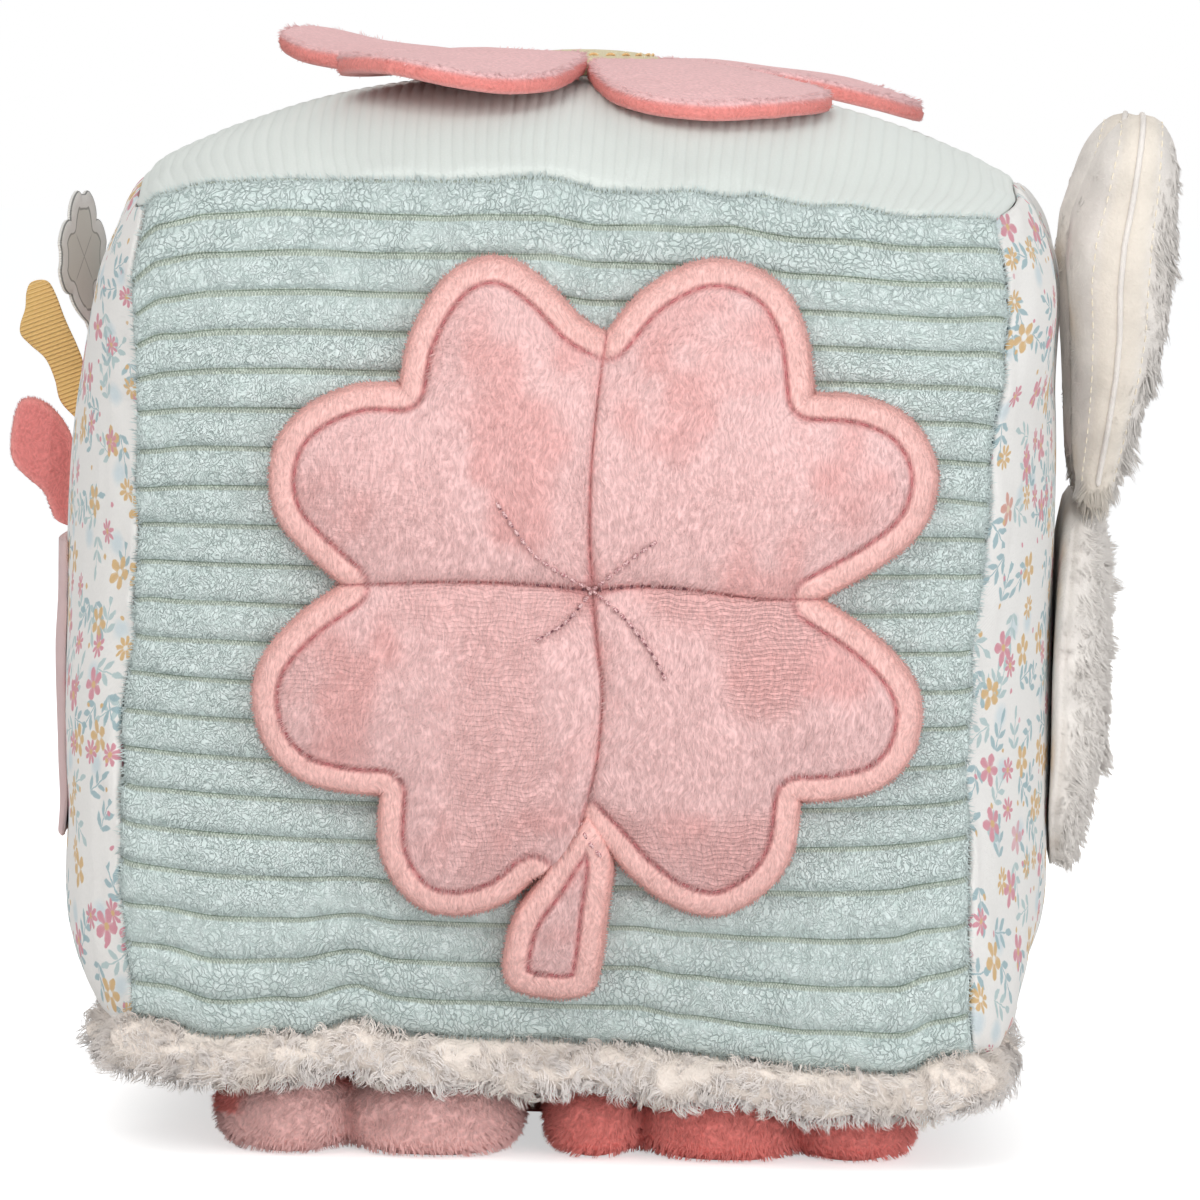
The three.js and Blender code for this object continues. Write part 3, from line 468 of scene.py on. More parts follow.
class Wiring:
    # shorthand for adding nodes to the tree of a material or of the world
    def __init__(self, owner):
        owner.use_nodes = True
        self.tree = owner.node_tree
        self.nodes = self.tree.nodes

    def feed(self, socket, value):
        if isinstance(value, Wire):
            self.tree.links.new(value.socket, socket)
        else:
            socket.default_value = value

    def node(self, kind, settings, inputs):
        # adds a node and gives its outputs, by number and by name
        made = self.nodes.new("ShaderNode" + kind)
        for key, value in settings.items():
            setattr(made, key, value)
        for key, value in inputs.items():
            self.feed(made.inputs[key], value)
        return {key: Wire(self, out) for number, out in enumerate(made.outputs) for key in (number, out.name)}

    def reckon(self, operation, a, b=0.0):
        wide = [isinstance(value, tuple) or getattr(value, "wide", False) for value in (a, b)]
        if operation == "MULTIPLY" and wide == [True, False]:
            return self.node("VectorMath", {"operation": "SCALE"}, {0: a, "Scale": b})[0]
        return self.node("VectorMath" if any(wide) else "Math", {"operation": operation}, {0: a, 1: b})[0]

    def most(self, a, b):
        return self.reckon("MAXIMUM", a, b)


class Finish(Wiring):
    # a Principled material and the usual steps of what feeds it
    def __init__(self, name, rough, sheen=0.0, shine=0.2):
        self.material = bpy.data.materials.new(name)
        super().__init__(self.material)
        self.shader = self.nodes["Principled BSDF"].inputs
        self.shader["Roughness"].default_value = rough
        self.shader["Specular IOR Level"].default_value = shine
        self.shader["Sheen Weight"].default_value = sheen
        self.shader["Sheen Roughness"].default_value = 0.6

    def sine(self, value):
        return self.reckon("SINE", value)

    def length(self, where):
        return self.node("VectorMath", {"operation": "LENGTH"}, {0: where})["Value"]

    def places(self):
        # the piece's own coordinates, in millimetres
        return self.node("TexCoord", {}, {})["Object"] * 1000.0

    def attribute(self, name, output):
        return self.node("Attribute", {"attribute_name": name}, {})[output]

    def split(self, where):
        made = self.node("SeparateXYZ", {}, {0: where})
        return made[0], made[1], made[2]

    def cloth(self):
        # the place on the flat cloth: across, up and a third value of the piece's own
        return self.split(self.attribute("cloth", "Vector"))

    def flatPlace(self, across, up):
        return self.node("CombineXYZ", {}, {0: across, 1: up})[0]

    def noise(self, where, scale, detail=2.0, output="Fac"):
        return self.node("TexNoise", {}, {"Vector": where, "Scale": scale, "Detail": detail})[output]

    def drift(self, where, scale):
        # a push to one side or the other, different from place to place
        return self.noise(where, scale, 2.0, "Color") - (0.5, 0.5, 0.5)

    def ramp(self, value, low, high):
        return self.node("MapRange", {"interpolation_type": "SMOOTHSTEP"}, {0: value, 1: low, 2: high})[0]

    def fall(self, value, low, high):
        return 1.0 - self.ramp(value, low, high)

    def mix(self, share, a, b):
        return self.node("Mix", {"data_type": "RGBA"}, {0: share, 6: a, 7: b})[2]

    def shaded(self, colour, value, low, high):
        # a colour made darker or lighter, from low to high, as value goes from 0 to 1
        return colour * self.node("MapRange", {}, {0: value, 3: low, 4: high})[0]

    def finished(self, colour, height, depth):
        # gives the shader its colour and its bump, and hands over the material
        self.feed(self.shader["Base Color"], colour)
        if depth:
            bumped = self.node("Bump", {}, {"Height": height, "Distance": depth * mm})
            self.feed(self.shader["Normal"], bumped[0])
        return self.material


def ribbedPlushLook():
    pile, soft, shadeTint = paint(0.85, 0.895, 0.885), paint(0.785, 0.84, 0.825), paint(0.55, 0.625, 0.61)
    ground, grooveTint, tickPitch = paint(0.80, 0.83, 0.765), paint(0.43, 0.50, 0.43), 0.5
    look = Finish("ribbed_plush", 0.95, sheen=0.1)
    across, up, phase = look.cloth()
    flat = look.flatPlace(across, up)
    curved = flat + look.drift(flat, 0.2) * 5.0 + look.drift(flat, 0.95) * 1.6

    def hollows(size, stretch, shift):
        # painted shade in the dark gaps round tufts of pile about size millimetres wide
        cells = look.node("TexVoronoi", {"feature": "DISTANCE_TO_EDGE", "voronoi_dimensions": "2D"},
                          {"Vector": curved * stretch + shift, "Scale": 1 / size})
        return look.fall(cells["Distance"], 0.02, 0.13)

    # mostly broken into short curved dashes, whole only in places near the top and bottom seams
    whole = look.ramp(abs(up), 44.0, 64.0) * look.ramp(look.noise(flat, 0.07, 3.0), 0.33, 0.5)
    broken = look.ramp(look.noise(flat, 1.3), 0.42, 0.57)
    large = hollows(1.1, (1.15, 0.8, 1.0), (0.0, 0.0, 0.0)) * (whole * 0.9)
    middling = hollows(0.78, (1.3, 0.68, 1.0), (11.0, 5.0, 0.0)) * broken
    small = hollows(0.5, (1.2, 0.75, 1.0), (31.0, 17.0, 0.0)) * (0.75 - broken)
    deep = look.ramp(look.noise(flat, 0.14, 3.0), 0.3, 0.6) * 0.34 + 0.56
    hollowShade = look.most(large, look.most(middling, small) * (1.0 - whole * 0.7)) * deep
    # distance from the nearest groove, in ribs, positive above it
    fromGroove = look.reckon("FRACT", phase + 0.5) - 0.5
    fuzz = look.noise(flat * (3.4, 1.9, 1.0), 1.0, 3.0)
    colour = look.mix(look.ramp(look.noise(flat, 0.5, 3.0), 0.3, 0.7), soft, pile)
    # painted shade: the pile darkened towards the shade tint in the gaps between tufts
    colour = look.mix(hollowShade * 0.72, look.shaded(colour, fuzz, 0.92, 1.07), shadeTint)
    # painted shade on the lower part of each rib, just above its groove
    underShade = look.ramp(fromGroove, 0.0, 0.02) * look.fall(fromGroove, 0.06, 0.3)
    colour = look.mix(underShade * 0.25, colour, shadeTint)
    # stitches like the rungs of a ladder along each groove, and the thin shadow line in it
    swing = across * (2 * math.pi / tickPitch) + look.ramp(fromGroove, -0.004, 0.004) * math.pi
    tick = look.ramp(look.sine(swing + look.noise(flat, 0.35) * 4.0), -0.75, 0.35)
    halfLadder = look.noise(flat, 1.3) * 0.04 + look.ramp(up, 15.0, 50.0) * 0.03 + 0.035
    inLadder = look.fall(abs(fromGroove) - halfLadder, -0.02, 0.03)
    colour = look.mix(inLadder * 0.75, colour, look.mix(tick * 0.6 + 0.4, grooveTint, ground))
    line = look.fall(abs(fromGroove - 0.055), 0.004, 0.026)
    line *= look.ramp(look.noise(flat, 0.09), 0.3, 0.6) * 0.5 + 0.3
    height = fuzz * 0.5 + (1.0 - hollowShade) + tick * inLadder * 0.3
    return look.finished(look.mix(line, colour, grooveTint), height, 0.32)


def cordLook():
    look = Finish("fine_cord", 0.92, sheen=0.15)
    across, up, _ = look.cloth()
    flat = look.flatPlace(across, up)
    wale = abs(look.sine(across * (math.pi / topPanel["wale"])))
    fuzz = look.noise(flat * (2.4, 3.0, 1.0), 1.0, 3.0)
    # painted shade: the grooves between the wales a little darker than their tops
    colour = look.mix(look.ramp(wale, 0.0, 0.6), paint(0.83, 0.85, 0.83), paint(0.85, 0.87, 0.85))
    colour = look.shaded(look.shaded(colour, fuzz, 0.95, 1.04), look.noise(flat, 0.05, 3.0), 0.96, 1.03)
    return look.finished(colour, wale * 0.3 + fuzz, 0.16)


def printedCottonLook():
    # a scattered small print: five-petal flowers, leafy sprigs, dots and pale smudges
    cloth, rose, tan = paint(0.955, 0.945, 0.93), paint(0.86, 0.60, 0.645), paint(0.87, 0.73, 0.53)
    blue, paleBlue, haze = paint(0.62, 0.73, 0.755), paint(0.72, 0.80, 0.80), paint(0.82, 0.875, 0.895)
    look = Finish("printed_cotton", 0.85, sheen=0.1)
    across, up, _ = look.cloth()
    flat = look.flatPlace(across, up)
    flat = flat + look.drift(flat, 0.8) * 0.7

    def motifCells(size, shift):
        # one motif in each cell: its own turned coordinates and two random numbers
        moved = flat * (1 / size) + shift
        cells = look.node("TexVoronoi", {"voronoi_dimensions": "2D"},
                          {"Vector": moved, "Scale": 1.0, "Randomness": 0.62})
        turn, pick, other = look.split(cells["Color"])
        local = (moved - cells["Position"]) * size
        turned = look.node("VectorRotate", {"rotation_type": "Z_AXIS"},
                           {"Vector": local, "Angle": turn * 6.28})
        return turned[0], pick, other

    def inside(distance, limit, soft=0.16):
        return look.fall(distance - limit, -soft, soft)

    def flowerMask(local, petals, radius):
        x, y, _ = look.split(local)
        wave = abs(look.reckon("COSINE", look.reckon("ARCTAN2", y, x) * (petals / 2)))
        distance = look.length(local)
        veins = inside(distance, wave ** 0.8 * (radius * 0.66) + radius * 0.34) * (wave * 0.45 + 0.6)
        return look.reckon("MINIMUM", veins, 1.0), inside(distance, radius * 0.22)

    def leafMask(x, y, centre, half, degrees):
        sine, cosine = math.sin(math.radians(degrees)), math.cos(math.radians(degrees))
        dx, dy = x - centre[0], y - centre[1]
        along, aside = (dx * sine + dy * cosine) / half[1], (dx * cosine - dy * sine) / half[0]
        return inside(abs(along) ** 1.6 + abs(aside) ** 1.6, 1.0, 0.3)

    local, pick, _ = motifCells(13.0, (3.1, 7.7, 0.0))
    smudge = inside(look.length(local), 1.9, 1.2) * look.ramp(pick, 0.3, 0.4)
    colour = look.mix(smudge * 0.8, cloth, haze)
    for size, shift, hidden in ((10.0, (0.37, 0.71, 0.0), 0.24), (9.0, (6.3, 8.9, 0.0), 0.62)):
        local, pick, other = motifCells(size, shift)
        x, y, _ = look.split(local)
        aside = abs(x)
        sprig = inside(look.most(aside, abs(y) - 3.0), 0.13, 0.07)
        for leaf in (
                ((1.25, -2.0), (0.6, 1.5), 48),
                ((1.2, 0.5), (0.58, 1.45), 42),
                ((0.0, 3.5), (0.6, 1.5), 0)):
            sprig = look.most(sprig, leafMask(aside, y, *leaf))
        sprig = sprig * look.ramp(pick, hidden, hidden + 0.01)
        colour = look.mix(sprig * 0.9, colour, look.mix(look.ramp(other, 0.5, 0.52), blue, paleBlue))
    for size, shift, petals, radius, hidden in (
            (11.0, (5.3, 2.9, 0.0), 5, 3.1, 0.26),
            (9.4, (9.7, 4.4, 0.0), 8, 2.3, 0.5)):
        local, pick, other = motifCells(size, shift)
        petal, heart = flowerMask(local, petals, radius)
        shown, isTan = look.ramp(pick, hidden, hidden + 0.01), look.ramp(other, 0.56, 0.57)
        colour = look.mix(petal * shown, colour, look.mix(isTan, rose, tan))
        colour = look.mix(heart * shown, colour, look.mix(isTan, tan, cloth))
    local, pick, other = motifCells(5.2, (1.9, 8.3, 0.0))
    dot = inside(look.length(local), 0.5, 0.12) * look.ramp(pick, 0.7, 0.71)
    colour = look.mix(dot, colour, look.mix(look.ramp(other, 0.5, 0.51), tan, rose))
    weave = look.sine(across * (2 * math.pi / 0.42)) * look.sine(up * (2 * math.pi / 0.42))
    soft = look.noise(flat, 1.6, 3.0)
    return look.finished(look.shaded(look.shaded(colour, weave, 0.985, 1.0), soft, 0.94, 1.03),
                         weave * 0.35 + soft, 0.14)


def plushLook(name, nap, depth, streak=(0.82, 1.15)):
    # short pile: the painted tint with fine streaks along the nap, and combed ridges where it lies flat
    look = Finish(name, 0.95, sheen=0.05, shine=0.1)
    places = look.places()
    streaks = look.noise((places + look.drift(places, 0.12) * 5.0) * nap, 1.0, 3.0)
    colour = look.shaded(look.attribute("tint", "Color"), look.ramp(streaks, 0.3, 0.7), *streak)
    ridge = look.sine(look.split(places)[2] * (2 * math.pi / 0.85) + look.noise(places, 0.16, 3.0) * 26.0)
    combed = look.attribute("comb", "Fac") * look.ramp(ridge, 0.0, 0.9)
    return look.finished(look.mix(combed, colour, colour * 0.87), streaks - combed, depth)


def fleeceLook(name, size, depth):
    # long or curly pile: the painted tint with clumps, painted shade in the low parts of the bump between
    # them and a little painted light on their tops
    look = Finish(name, 1.0, sheen=0.05, shine=0.1)
    places = look.places()
    clump, fine = look.noise(places, 1 / size, 4.0), look.noise(places, 1.8, 3.0)
    colour = look.shaded(look.attribute("tint", "Color"), look.ramp(clump, 0.3, 0.65), 0.9, 1.05)
    return look.finished(look.shaded(colour, fine, 0.95, 1.05), clump + fine * 0.3, depth)


def fibreLook(name):
    # a coat's own strands in the painted tint
    look = Finish(name, 1.0, shine=0.05)
    fine = look.noise(look.places(), 2.5)
    return look.finished(look.shaded(look.attribute("tint", "Color"), fine, 0.93, 1.07), None, 0)


def threadLook(name, colour, paintedLight):
    look = Finish(name, 0.55, sheen=0.1, shine=0.4)
    ply = look.noise(look.places(), 3.4)
    # painted highlight: the thread lighter where its ply stands up in the bump
    return look.finished(look.mix(look.ramp(ply, 0.35, 0.65), colour, paintedLight), ply, 0.08)


def wovenLook(name, colour, dark, pitch, slant, depth=0.12):
    # twill or rep: fine ridges across the piece's cloth coordinates, at a slant
    look = Finish(name, 0.85, sheen=0.12)
    across, up, _ = look.cloth()
    places, turns = look.places(), 2 * math.pi / pitch
    shade = look.sine((across * slant + up) * turns) + look.sine(across * turns) * 0.15
    # painted shade: the troughs between the ridges darker than the ridge tops
    tinted = look.mix(look.ramp(shade, -0.7, 0.8), dark, colour)
    tinted = look.shaded(tinted, look.noise(places, 0.15, 3.0), 0.93, 1.06)
    return look.finished(tinted, look.noise(places, 1.2, 3.0) * 0.7 + shade, depth)


def greyTwillLook():
    # pale twill with a white rim, a line of sewing inside it and two crossing folds that part the four leaves
    field, rim = paint(0.885, 0.875, 0.84), paint(0.95, 0.94, 0.92)
    seam, wall = paint(0.67, 0.66, 0.63), paint(0.50, 0.51, 0.50)
    look = Finish("grey_twill", 0.8, sheen=0.1)
    across, up, edge = look.cloth()
    ridge = look.sine((across + up) * (2 * math.pi / 0.5))
    lines = look.fall(abs(edge - 1.62), 0.1, 0.24)
    for steep in (1.2, -1.2):
        fold = look.fall(abs(across * steep + up), 0.1, 0.3) * look.ramp(edge, 2.0, 3.4)
        lines = look.most(lines, fold * 0.8)
    colour = look.mix(lines, look.mix(look.ramp(edge, 1.5, 1.75), rim, field), seam)
    colour = look.mix(look.ramp(edge, -1.0, -0.8), wall, colour)
    return look.finished(look.shaded(colour, ridge, 0.97, 1.0), ridge, 0.06)


def feltLook(name, colour, dark):
    look = Finish(name, 0.97, sheen=0.2)
    mat = look.noise(look.places(), 0.9, 5.0)
    return look.finished(look.mix(look.ramp(mat, 0.3, 0.7), dark, colour), mat, 0.3)


def plasticLook(name, colour, speck):
    look = Finish(name, 0.45, shine=0.5)
    places = look.places()
    tinted = look.mix(look.ramp(look.noise(places, 0.7, 4.0), 0.3, 0.75), colour, speck)
    return look.finished(tinted, look.noise(places, 2.5, 3.0), 0.05)


# Stage: pale floor, white surround, soft lamps and the photograph's view

stage = {"floorReach": 9000, "floorTint": (0.86, 0.86, 0.86, 1), "floorGlow": 0.56,
         "skyTint": (0.97, 0.985, 1.0, 1), "sky": 0.52, "aimLevel": 95.0}
lamps = {"key": {"spot": (-480, -1100, 1150), "power": 10.0, "size": 1100, "tint": (1.0, 0.985, 0.965)},
         "fill": {"spot": (700, -1300, 90), "power": 17.0, "size": 1300, "tint": (0.97, 0.985, 1.0)},
         "rim": {"spot": (100, 1100, 900), "power": 5.0, "size": 800, "tint": (1.0, 0.985, 0.965)}}
shot = {"target": (5.16, 0.0, 95.17), "distance": 1373, "azimuth": 1.5, "elevation": 4.0, "roll": 0.95,
        "focal": 7424, "framePixels": 1200, "sensor": 36.0, "farthest": 30.0}
white = (1, 1, 1, 1)


def seenDirectly(look):
    # 1 where the camera, a mirror or glass looks at it, 0 where it only gives light
    path = look.node("LightPath", {}, {})
    return look.most(look.most(path["Is Camera Ray"], path["Is Glossy Ray"]), path["Is Transmission Ray"])


def placed(name, data, spot, right, up, back):
    # a lamp or camera that stands at spot and looks away from back
    thing = bpy.data.objects.new(name, data)
    rows = zip(joined(right, up, back), spot * mm)
    thing.matrix_world = Matrix([[*row, value] for row, value in rows] + [[0, 0, 0, 1]])
    scene.collection.objects.link(thing)
    return thing


def makeSurround():
    world = bpy.data.worlds.new("surround")
    scene.world = world
    look = Wiring(world)
    look.nodes.remove(look.nodes["Background"])
    lighting = look.node("Background", {}, {0: stage["skyTint"], 1: stage["sky"]})[0]
    shown = look.node("Background", {}, {0: white, 1: 1.0})[0]
    mixed = look.node("MixShader", {}, {0: seenDirectly(look), 1: lighting, 2: shown})[0]
    look.feed(look.nodes["World Output"].inputs[0], mixed)


def makeFloor():
    material = bpy.data.materials.new("pale_floor")
    look = Wiring(material)
    look.nodes.remove(look.nodes["Principled BSDF"])
    matte = look.node("BsdfDiffuse", {}, {0: stage["floorTint"]})[0]
    glow = look.node("Emission", {}, {0: white, 1: seenDirectly(look) * stage["floorGlow"]})[0]
    look.feed(look.nodes["Material Output"].inputs[0], look.node("AddShader", {}, {0: matte, 1: glow})[0])
    reach = stage["floorReach"]
    corners = np.array([[-reach, -reach, 0], [reach, -reach, 0], [reach, reach, 0], [-reach, reach, 0]],
                       float)
    floor = meshPiece("floor", {"points": corners, "quads": [[0, 1, 2, 3]], "tris": []}, material)


def makeLamps():
    for name, lamp in lamps.items():
        data = bpy.data.lights.new(name + "_lamp", "AREA")
        data.energy = lamp["power"]
        data.size = lamp["size"] * mm
        data.color = lamp["tint"]
        spot = np.array(lamp["spot"], float)
        back = unit(spot - np.array([0, 0, stage["aimLevel"]]))
        right = unit(np.cross([0, 0, 1.0], back))
        placed(name + "_lamp", data, spot, right, np.cross(back, right), back)


def makeCamera():
    around, above, roll = (math.radians(shot[key]) for key in ("azimuth", "elevation", "roll"))
    back = np.array([math.sin(around) * math.cos(above), -math.cos(around) * math.cos(above),
                     math.sin(above)])
    right = np.array([math.cos(around), math.sin(around), 0.0])
    up = np.cross(back, right)
    data = bpy.data.cameras.new("photo_view")
    data.sensor_width = shot["sensor"]
    data.lens = shot["focal"] / shot["framePixels"] * shot["sensor"]
    data.clip_end = shot["farthest"]
    spot = np.array(shot["target"]) + back * shot["distance"]
    turnedRight = right * math.cos(roll) + up * math.sin(roll)
    turnedUp = up * math.cos(roll) - right * math.sin(roll)
    scene.camera = placed("photo_view", data, spot, turnedRight, turnedUp, back)
    scene.view_settings.view_transform = "Standard"


makeSurround()
makeFloor()
makeLamps()
makeCamera()
print("stage and camera ready")


# Cover: six sides sewn along twelve seams

block = {"half": np.array([73.5, 73.5, 75.0]), "centre": np.array([0.0, 0.0, 99.0]),
         "cornerPull": 0.042, "cornerCurve": 6, "tuck": 0.5, "tuckReach": 1.0,
         "pucker": 0.75, "puckerSize": 7.0, "puckerReach": 7.0}
frontPanel = {"ribs": 22, "ribHeight": 1.25, "columns": 290, "cloth": 2.4, "pebble": 1.3, "pebbleHeight": 0.1}
backPanel = {"ribs": 22, "ribHeight": 1.25, "columns": 150, "cloth": 2.4, "pebble": 2.1, "pebbleHeight": 0.25}
topPanel = {"wale": 2.1, "waleHeight": 0.22, "columns": 448, "rows": 84, "cloth": 1.5}
sidePanel = {"cells": 170, "cloth": 1.0}
sides = {
    "front": ((0, -1, 0), (1, 0, 0), (0, 0, 1), 16),
    "back": ((0, 1, 0), (-1, 0, 0), (0, 0, 1), 16),
    "left": ((-1, 0, 0), (0, -1, 0), (0, 0, 1), 19),
    "right": ((1, 0, 0), (0, 1, 0), (0, 0, 1), 15),
    "top": ((0, 0, 1), (1, 0, 0), (0, 1, 0), 18),
    "bottom": ((0, 0, -1), (1, 0, 0), (0, -1, 0), 8),
}
sherpa = {"cells": 170, "crowding": 0.32, "cloth": 4.0, "lump": 6.5, "lumpHeight": 1.3, "sideFrom": 58,
          "rollOut": [(0, 0), (1, 2.4), (2, 4), (4.5, 6.3), (7, 6.6), (9, 5.6), (12, 2.8), (16, 0), (90, 0)],
          "rollDown": [(0, 0), (1, 0.8), (2, 2.2), (4.5, 5), (7, 6.2), (9, 5.4), (12, 3), (16, 1),
                       (20, 0), (90, 0)]}
# how full the two cotton sides stay below and above their middle, and how far the seams there bow out
fullness = {"left": (5.0, 3.2), "right": (5.0, 4.6)}
bows = {"left": (8.5, 2.8), "right": (5.5, 6.5)}
# how the front seams of this block wander from straight: place along the seam, shift
seams = {
    "top": [(-74, -5.4), (-67, -1), (-60, 0), (-45, 0.2), (-29, -0.4), (-4, 0), (6, -1.5), (29, -1.7),
            (41, -3.1), (58, -3.8), (75, -2)],
    "bottom": [(-74, -3.4), (-65, -1.8), (-58, -3.4), (-46, -2), (-34.5, 0.9), (-27, -1.2), (-14, -1.5),
               (14, -1.7), (23, -3.5), (37, -5.1), (51, -6.6), (60, -7.4), (65, -5.7), (75, -5.6)],
    "left": [(24, -3.4), (39, -3.2), (53, -3.5), (81, -3.2), (95, -1.7), (106, -1), (120, -1.5), (140, -2),
             (151, -2.9), (159, -3.9), (175, -3.5)],
    "right": [(24, 3.4), (48, -0.3), (75, -0.9), (92, -0.3), (110, 1.5), (131, 2.2), (143, 4), (153, 4.9),
              (168, 4), (175, 3.6)],
}


def crownShare(share, curve=2.6):
    return 1 - np.minimum(1, np.abs(share)) ** curve


def sideBow(sideName, y, z):
    low, high = bows[sideName]
    return crownShare(y / block["half"][1]) * (low * fadeOut(z, 24, 62) + high * fade(z, 134, 172))


def sideFullness(sideName, up):
    low, high = fullness.get(sideName, (2.6, 2.6))
    return np.where(up < 0, crownShare(up, low), crownShare(up, high))


def sideStand(sideName, y, z):
    # how far from the middle of the block its left or right side stands
    half = block["half"]
    swell = crownShare(y / half[1]) * sideFullness(sideName, (z - block["centre"][2]) / half[2])
    return half[0] + sides[sideName][3] * swell + sideBow(sideName, y, z)


def settled(points):
    # how the front seams wander and the side seams bow, for every cloth that meets them
    x, y, z = points[..., 0], points[..., 1], points[..., 2]
    nearFront = fadeOut(y, -66, -28)
    out = points.copy()
    out[..., 0] += fade(np.abs(x), 30, 72) * np.where(x < 0, -sideBow("left", y, z), sideBow("right", y, z))
    out[..., 2] += nearFront * (fade(z, 128, 172) * flow(seams["top"], x)
                                + fadeOut(z, 26, 62) * flow(seams["bottom"], x))
    out[..., 0] += nearFront * (fadeOut(x, -72, -42) * flow(seams["left"], z)
                                + fade(x, 42, 72) * flow(seams["right"], z))
    return out


def skin(sideName, across, up, lift):
    # a point of the cover, lifted off its smooth surface by lift
    normal, acrossAxis, upAxis, crown = (np.array(value, float) for value in sides[sideName])
    spot = normal + across[..., None] * acrossAxis + up[..., None] * upAxis
    x, y, z = np.moveaxis(np.abs(spot) ** block["cornerCurve"], -1, 0)
    pull = 1 - block["cornerPull"] * joined(y * z, x * z, x * y)
    fromSeam = (1 - np.maximum(np.abs(across), np.abs(up))) * block["half"][0]
    tuck = 1 - block["tuck"] / block["half"][0] * np.exp(-fromSeam / block["tuckReach"])
    points = spot * block["half"] * pull * tuck[..., None]
    points = points + normal * (crown * crownShare(across) * sideFullness(sideName, up) + lift)[..., None]
    points = points + block["centre"]
    puckers = block["pucker"] * np.exp(-fromSeam / block["puckerReach"])
    return settled(points + lumpVectors(points, block["puckerSize"], 17) * puckers[..., None])


def coverPanel(name, sideName, acrossShares, upShares, reliefAt, cloth, material, node, ribs=0,
               tint=None):
    _, acrossAxis, upAxis, _ = (np.array(value, float) for value in sides[sideName])
    halfAcross, halfUp = abs(acrossAxis @ block["half"]), abs(upAxis @ block["half"])
    across, up = np.meshgrid(acrossShares, upShares)
    fromSeam = np.minimum((1 - np.abs(across)) * halfAcross, (1 - np.abs(up)) * halfUp)
    flat = joined(across * halfAcross, up * halfUp)
    outer = skin(sideName, across, up, reliefAt(flat, up, fromSeam))
    if sideName == "bottom":
        # the deep pile rolls out past the seam all round
        most = np.maximum(np.abs(across), np.abs(up)) + 1e-9
        aside = joined(np.sign(across) * (np.abs(across) / most) ** 12,
                       -np.sign(up) * (np.abs(up) / most) ** 12, up * 0)
        uneven = 1.4 * lumps(outer, sherpa["lump"], 85) + 0.8 * lumps(outer, sherpa["lump"] / 2.4, 86)
        uneven *= fade(fromSeam, 0, 2) * fadeOut(fromSeam, 8, 14)
        outer = outer + aside * (slope(sherpa["rollOut"], fromSeam) + uneven)[..., None]
    rows, columns = across.shape
    index = np.arange(rows * columns).reshape(rows, columns)
    quads = [joined(index[:-1, :-1], index[:-1, 1:], index[1:, 1:], index[1:, :-1]).reshape(-1, 4)]
    rim = np.concatenate([index[0, :-1], index[:-1, -1], index[-1, :0:-1], index[:0:-1, 0]])
    # the inside of the cloth: rings that shrink from the seams to the middle
    rimAcross, rimUp = across.ravel()[rim], up.ravel()[rim]
    points = [outer.reshape(-1, 3)]
    clothPlaces = [np.concatenate([flat.reshape(-1, 2), ((up.reshape(-1, 1) + 1) / 2 * ribs)], axis=1)]
    previous, start = rim, rows * columns
    for share in (0.985, 0.9, 0.75, 0.55, 0.35, 0.15):
        ring = np.arange(len(rim)) + start
        points.append(skin(sideName, rimAcross * share, rimUp * share, np.full(len(rim), -float(cloth))))
        clothPlaces.append(joined(rimAcross * share * halfAcross, rimUp * share * halfUp, rimUp * 0))
        quads.append(joined(previous, ring, np.roll(ring, -1), np.roll(previous, -1)))
        previous, start = ring, start + len(rim)
    zero = np.zeros(1)
    points.append(skin(sideName, zero, zero, zero - cloth))
    clothPlaces.append(np.zeros((1, 3)))
    tris = joined(previous, np.full(len(rim), start), np.roll(previous, -1))
    points, clothPlaces, quads = np.vstack(points), np.vstack(clothPlaces), np.vstack(quads)
    quads, tris = turnedOut(points, quads, tris)
    spots = 0.5 + clothPlaces[:, :2] / (2.2 * max(halfAcross, halfUp))
    isOuter = np.arange(len(quads)) < (rows - 1) * (columns - 1)
    corners = np.concatenate([quads.ravel(), tris.ravel()])
    mapped = spots[corners]
    hidden = ~np.concatenate([np.repeat(isOuter, 4), np.zeros(len(tris) * 3, bool)])
    mapped[hidden] = mapped[hidden] * 0.02
    attributes = {"cloth": clothPlaces}
    if tint is not None:
        attributes["tint"] = np.tile(tint, (len(points), 1))
    shape = {"points": points, "quads": quads, "tris": tris, "mapped": mapped}
    piece = meshPiece(name, shape, material, attributes)
    settlePiece(piece, "root", [node])
    count = rows * columns
    outerOnly = {"points": points[:count], "quads": quads[:(rows - 1) * (columns - 1)],
                 "normals": normalsOf(piece)[:count], "fromSeam": fromSeam.ravel()}
    return piece, outerOnly


def ribbedRelief(panel, seed):
    def reliefAt(flat, up, fromSeam):
        level = onLevel(flat)
        waver = 0.05 * lumps(level, 9, seed)
        phase = (up + 1) / 2 * panel["ribs"] + waver * (fromSeam > 0.1)
        fromGroove = np.abs((phase + 0.5) % 1 - 0.5)
        share = np.clip((fromGroove - 0.075) / 0.425, 0, 1)
        puff = (1 - (1 - share) ** 2.3) ** 0.6
        full = 1 + 0.14 * lumps(level, 7, seed + 3) + 0.1 * lumps(level, 3, seed + 4)
        pebbled = panel["pebbleHeight"] * (fade(pebbles(flat, panel["pebble"], seed), 0.02, 0.32) - 0.5)
        slack = 0.5 * lumps(level, 24, seed + 5) * fade(fromSeam, 0, 14)
        return panel["ribHeight"] * puff * full + pebbled * share ** 0.5 + slack
    return reliefAt


def evenShares(cells):
    return np.linspace(-1, 1, cells + 1)


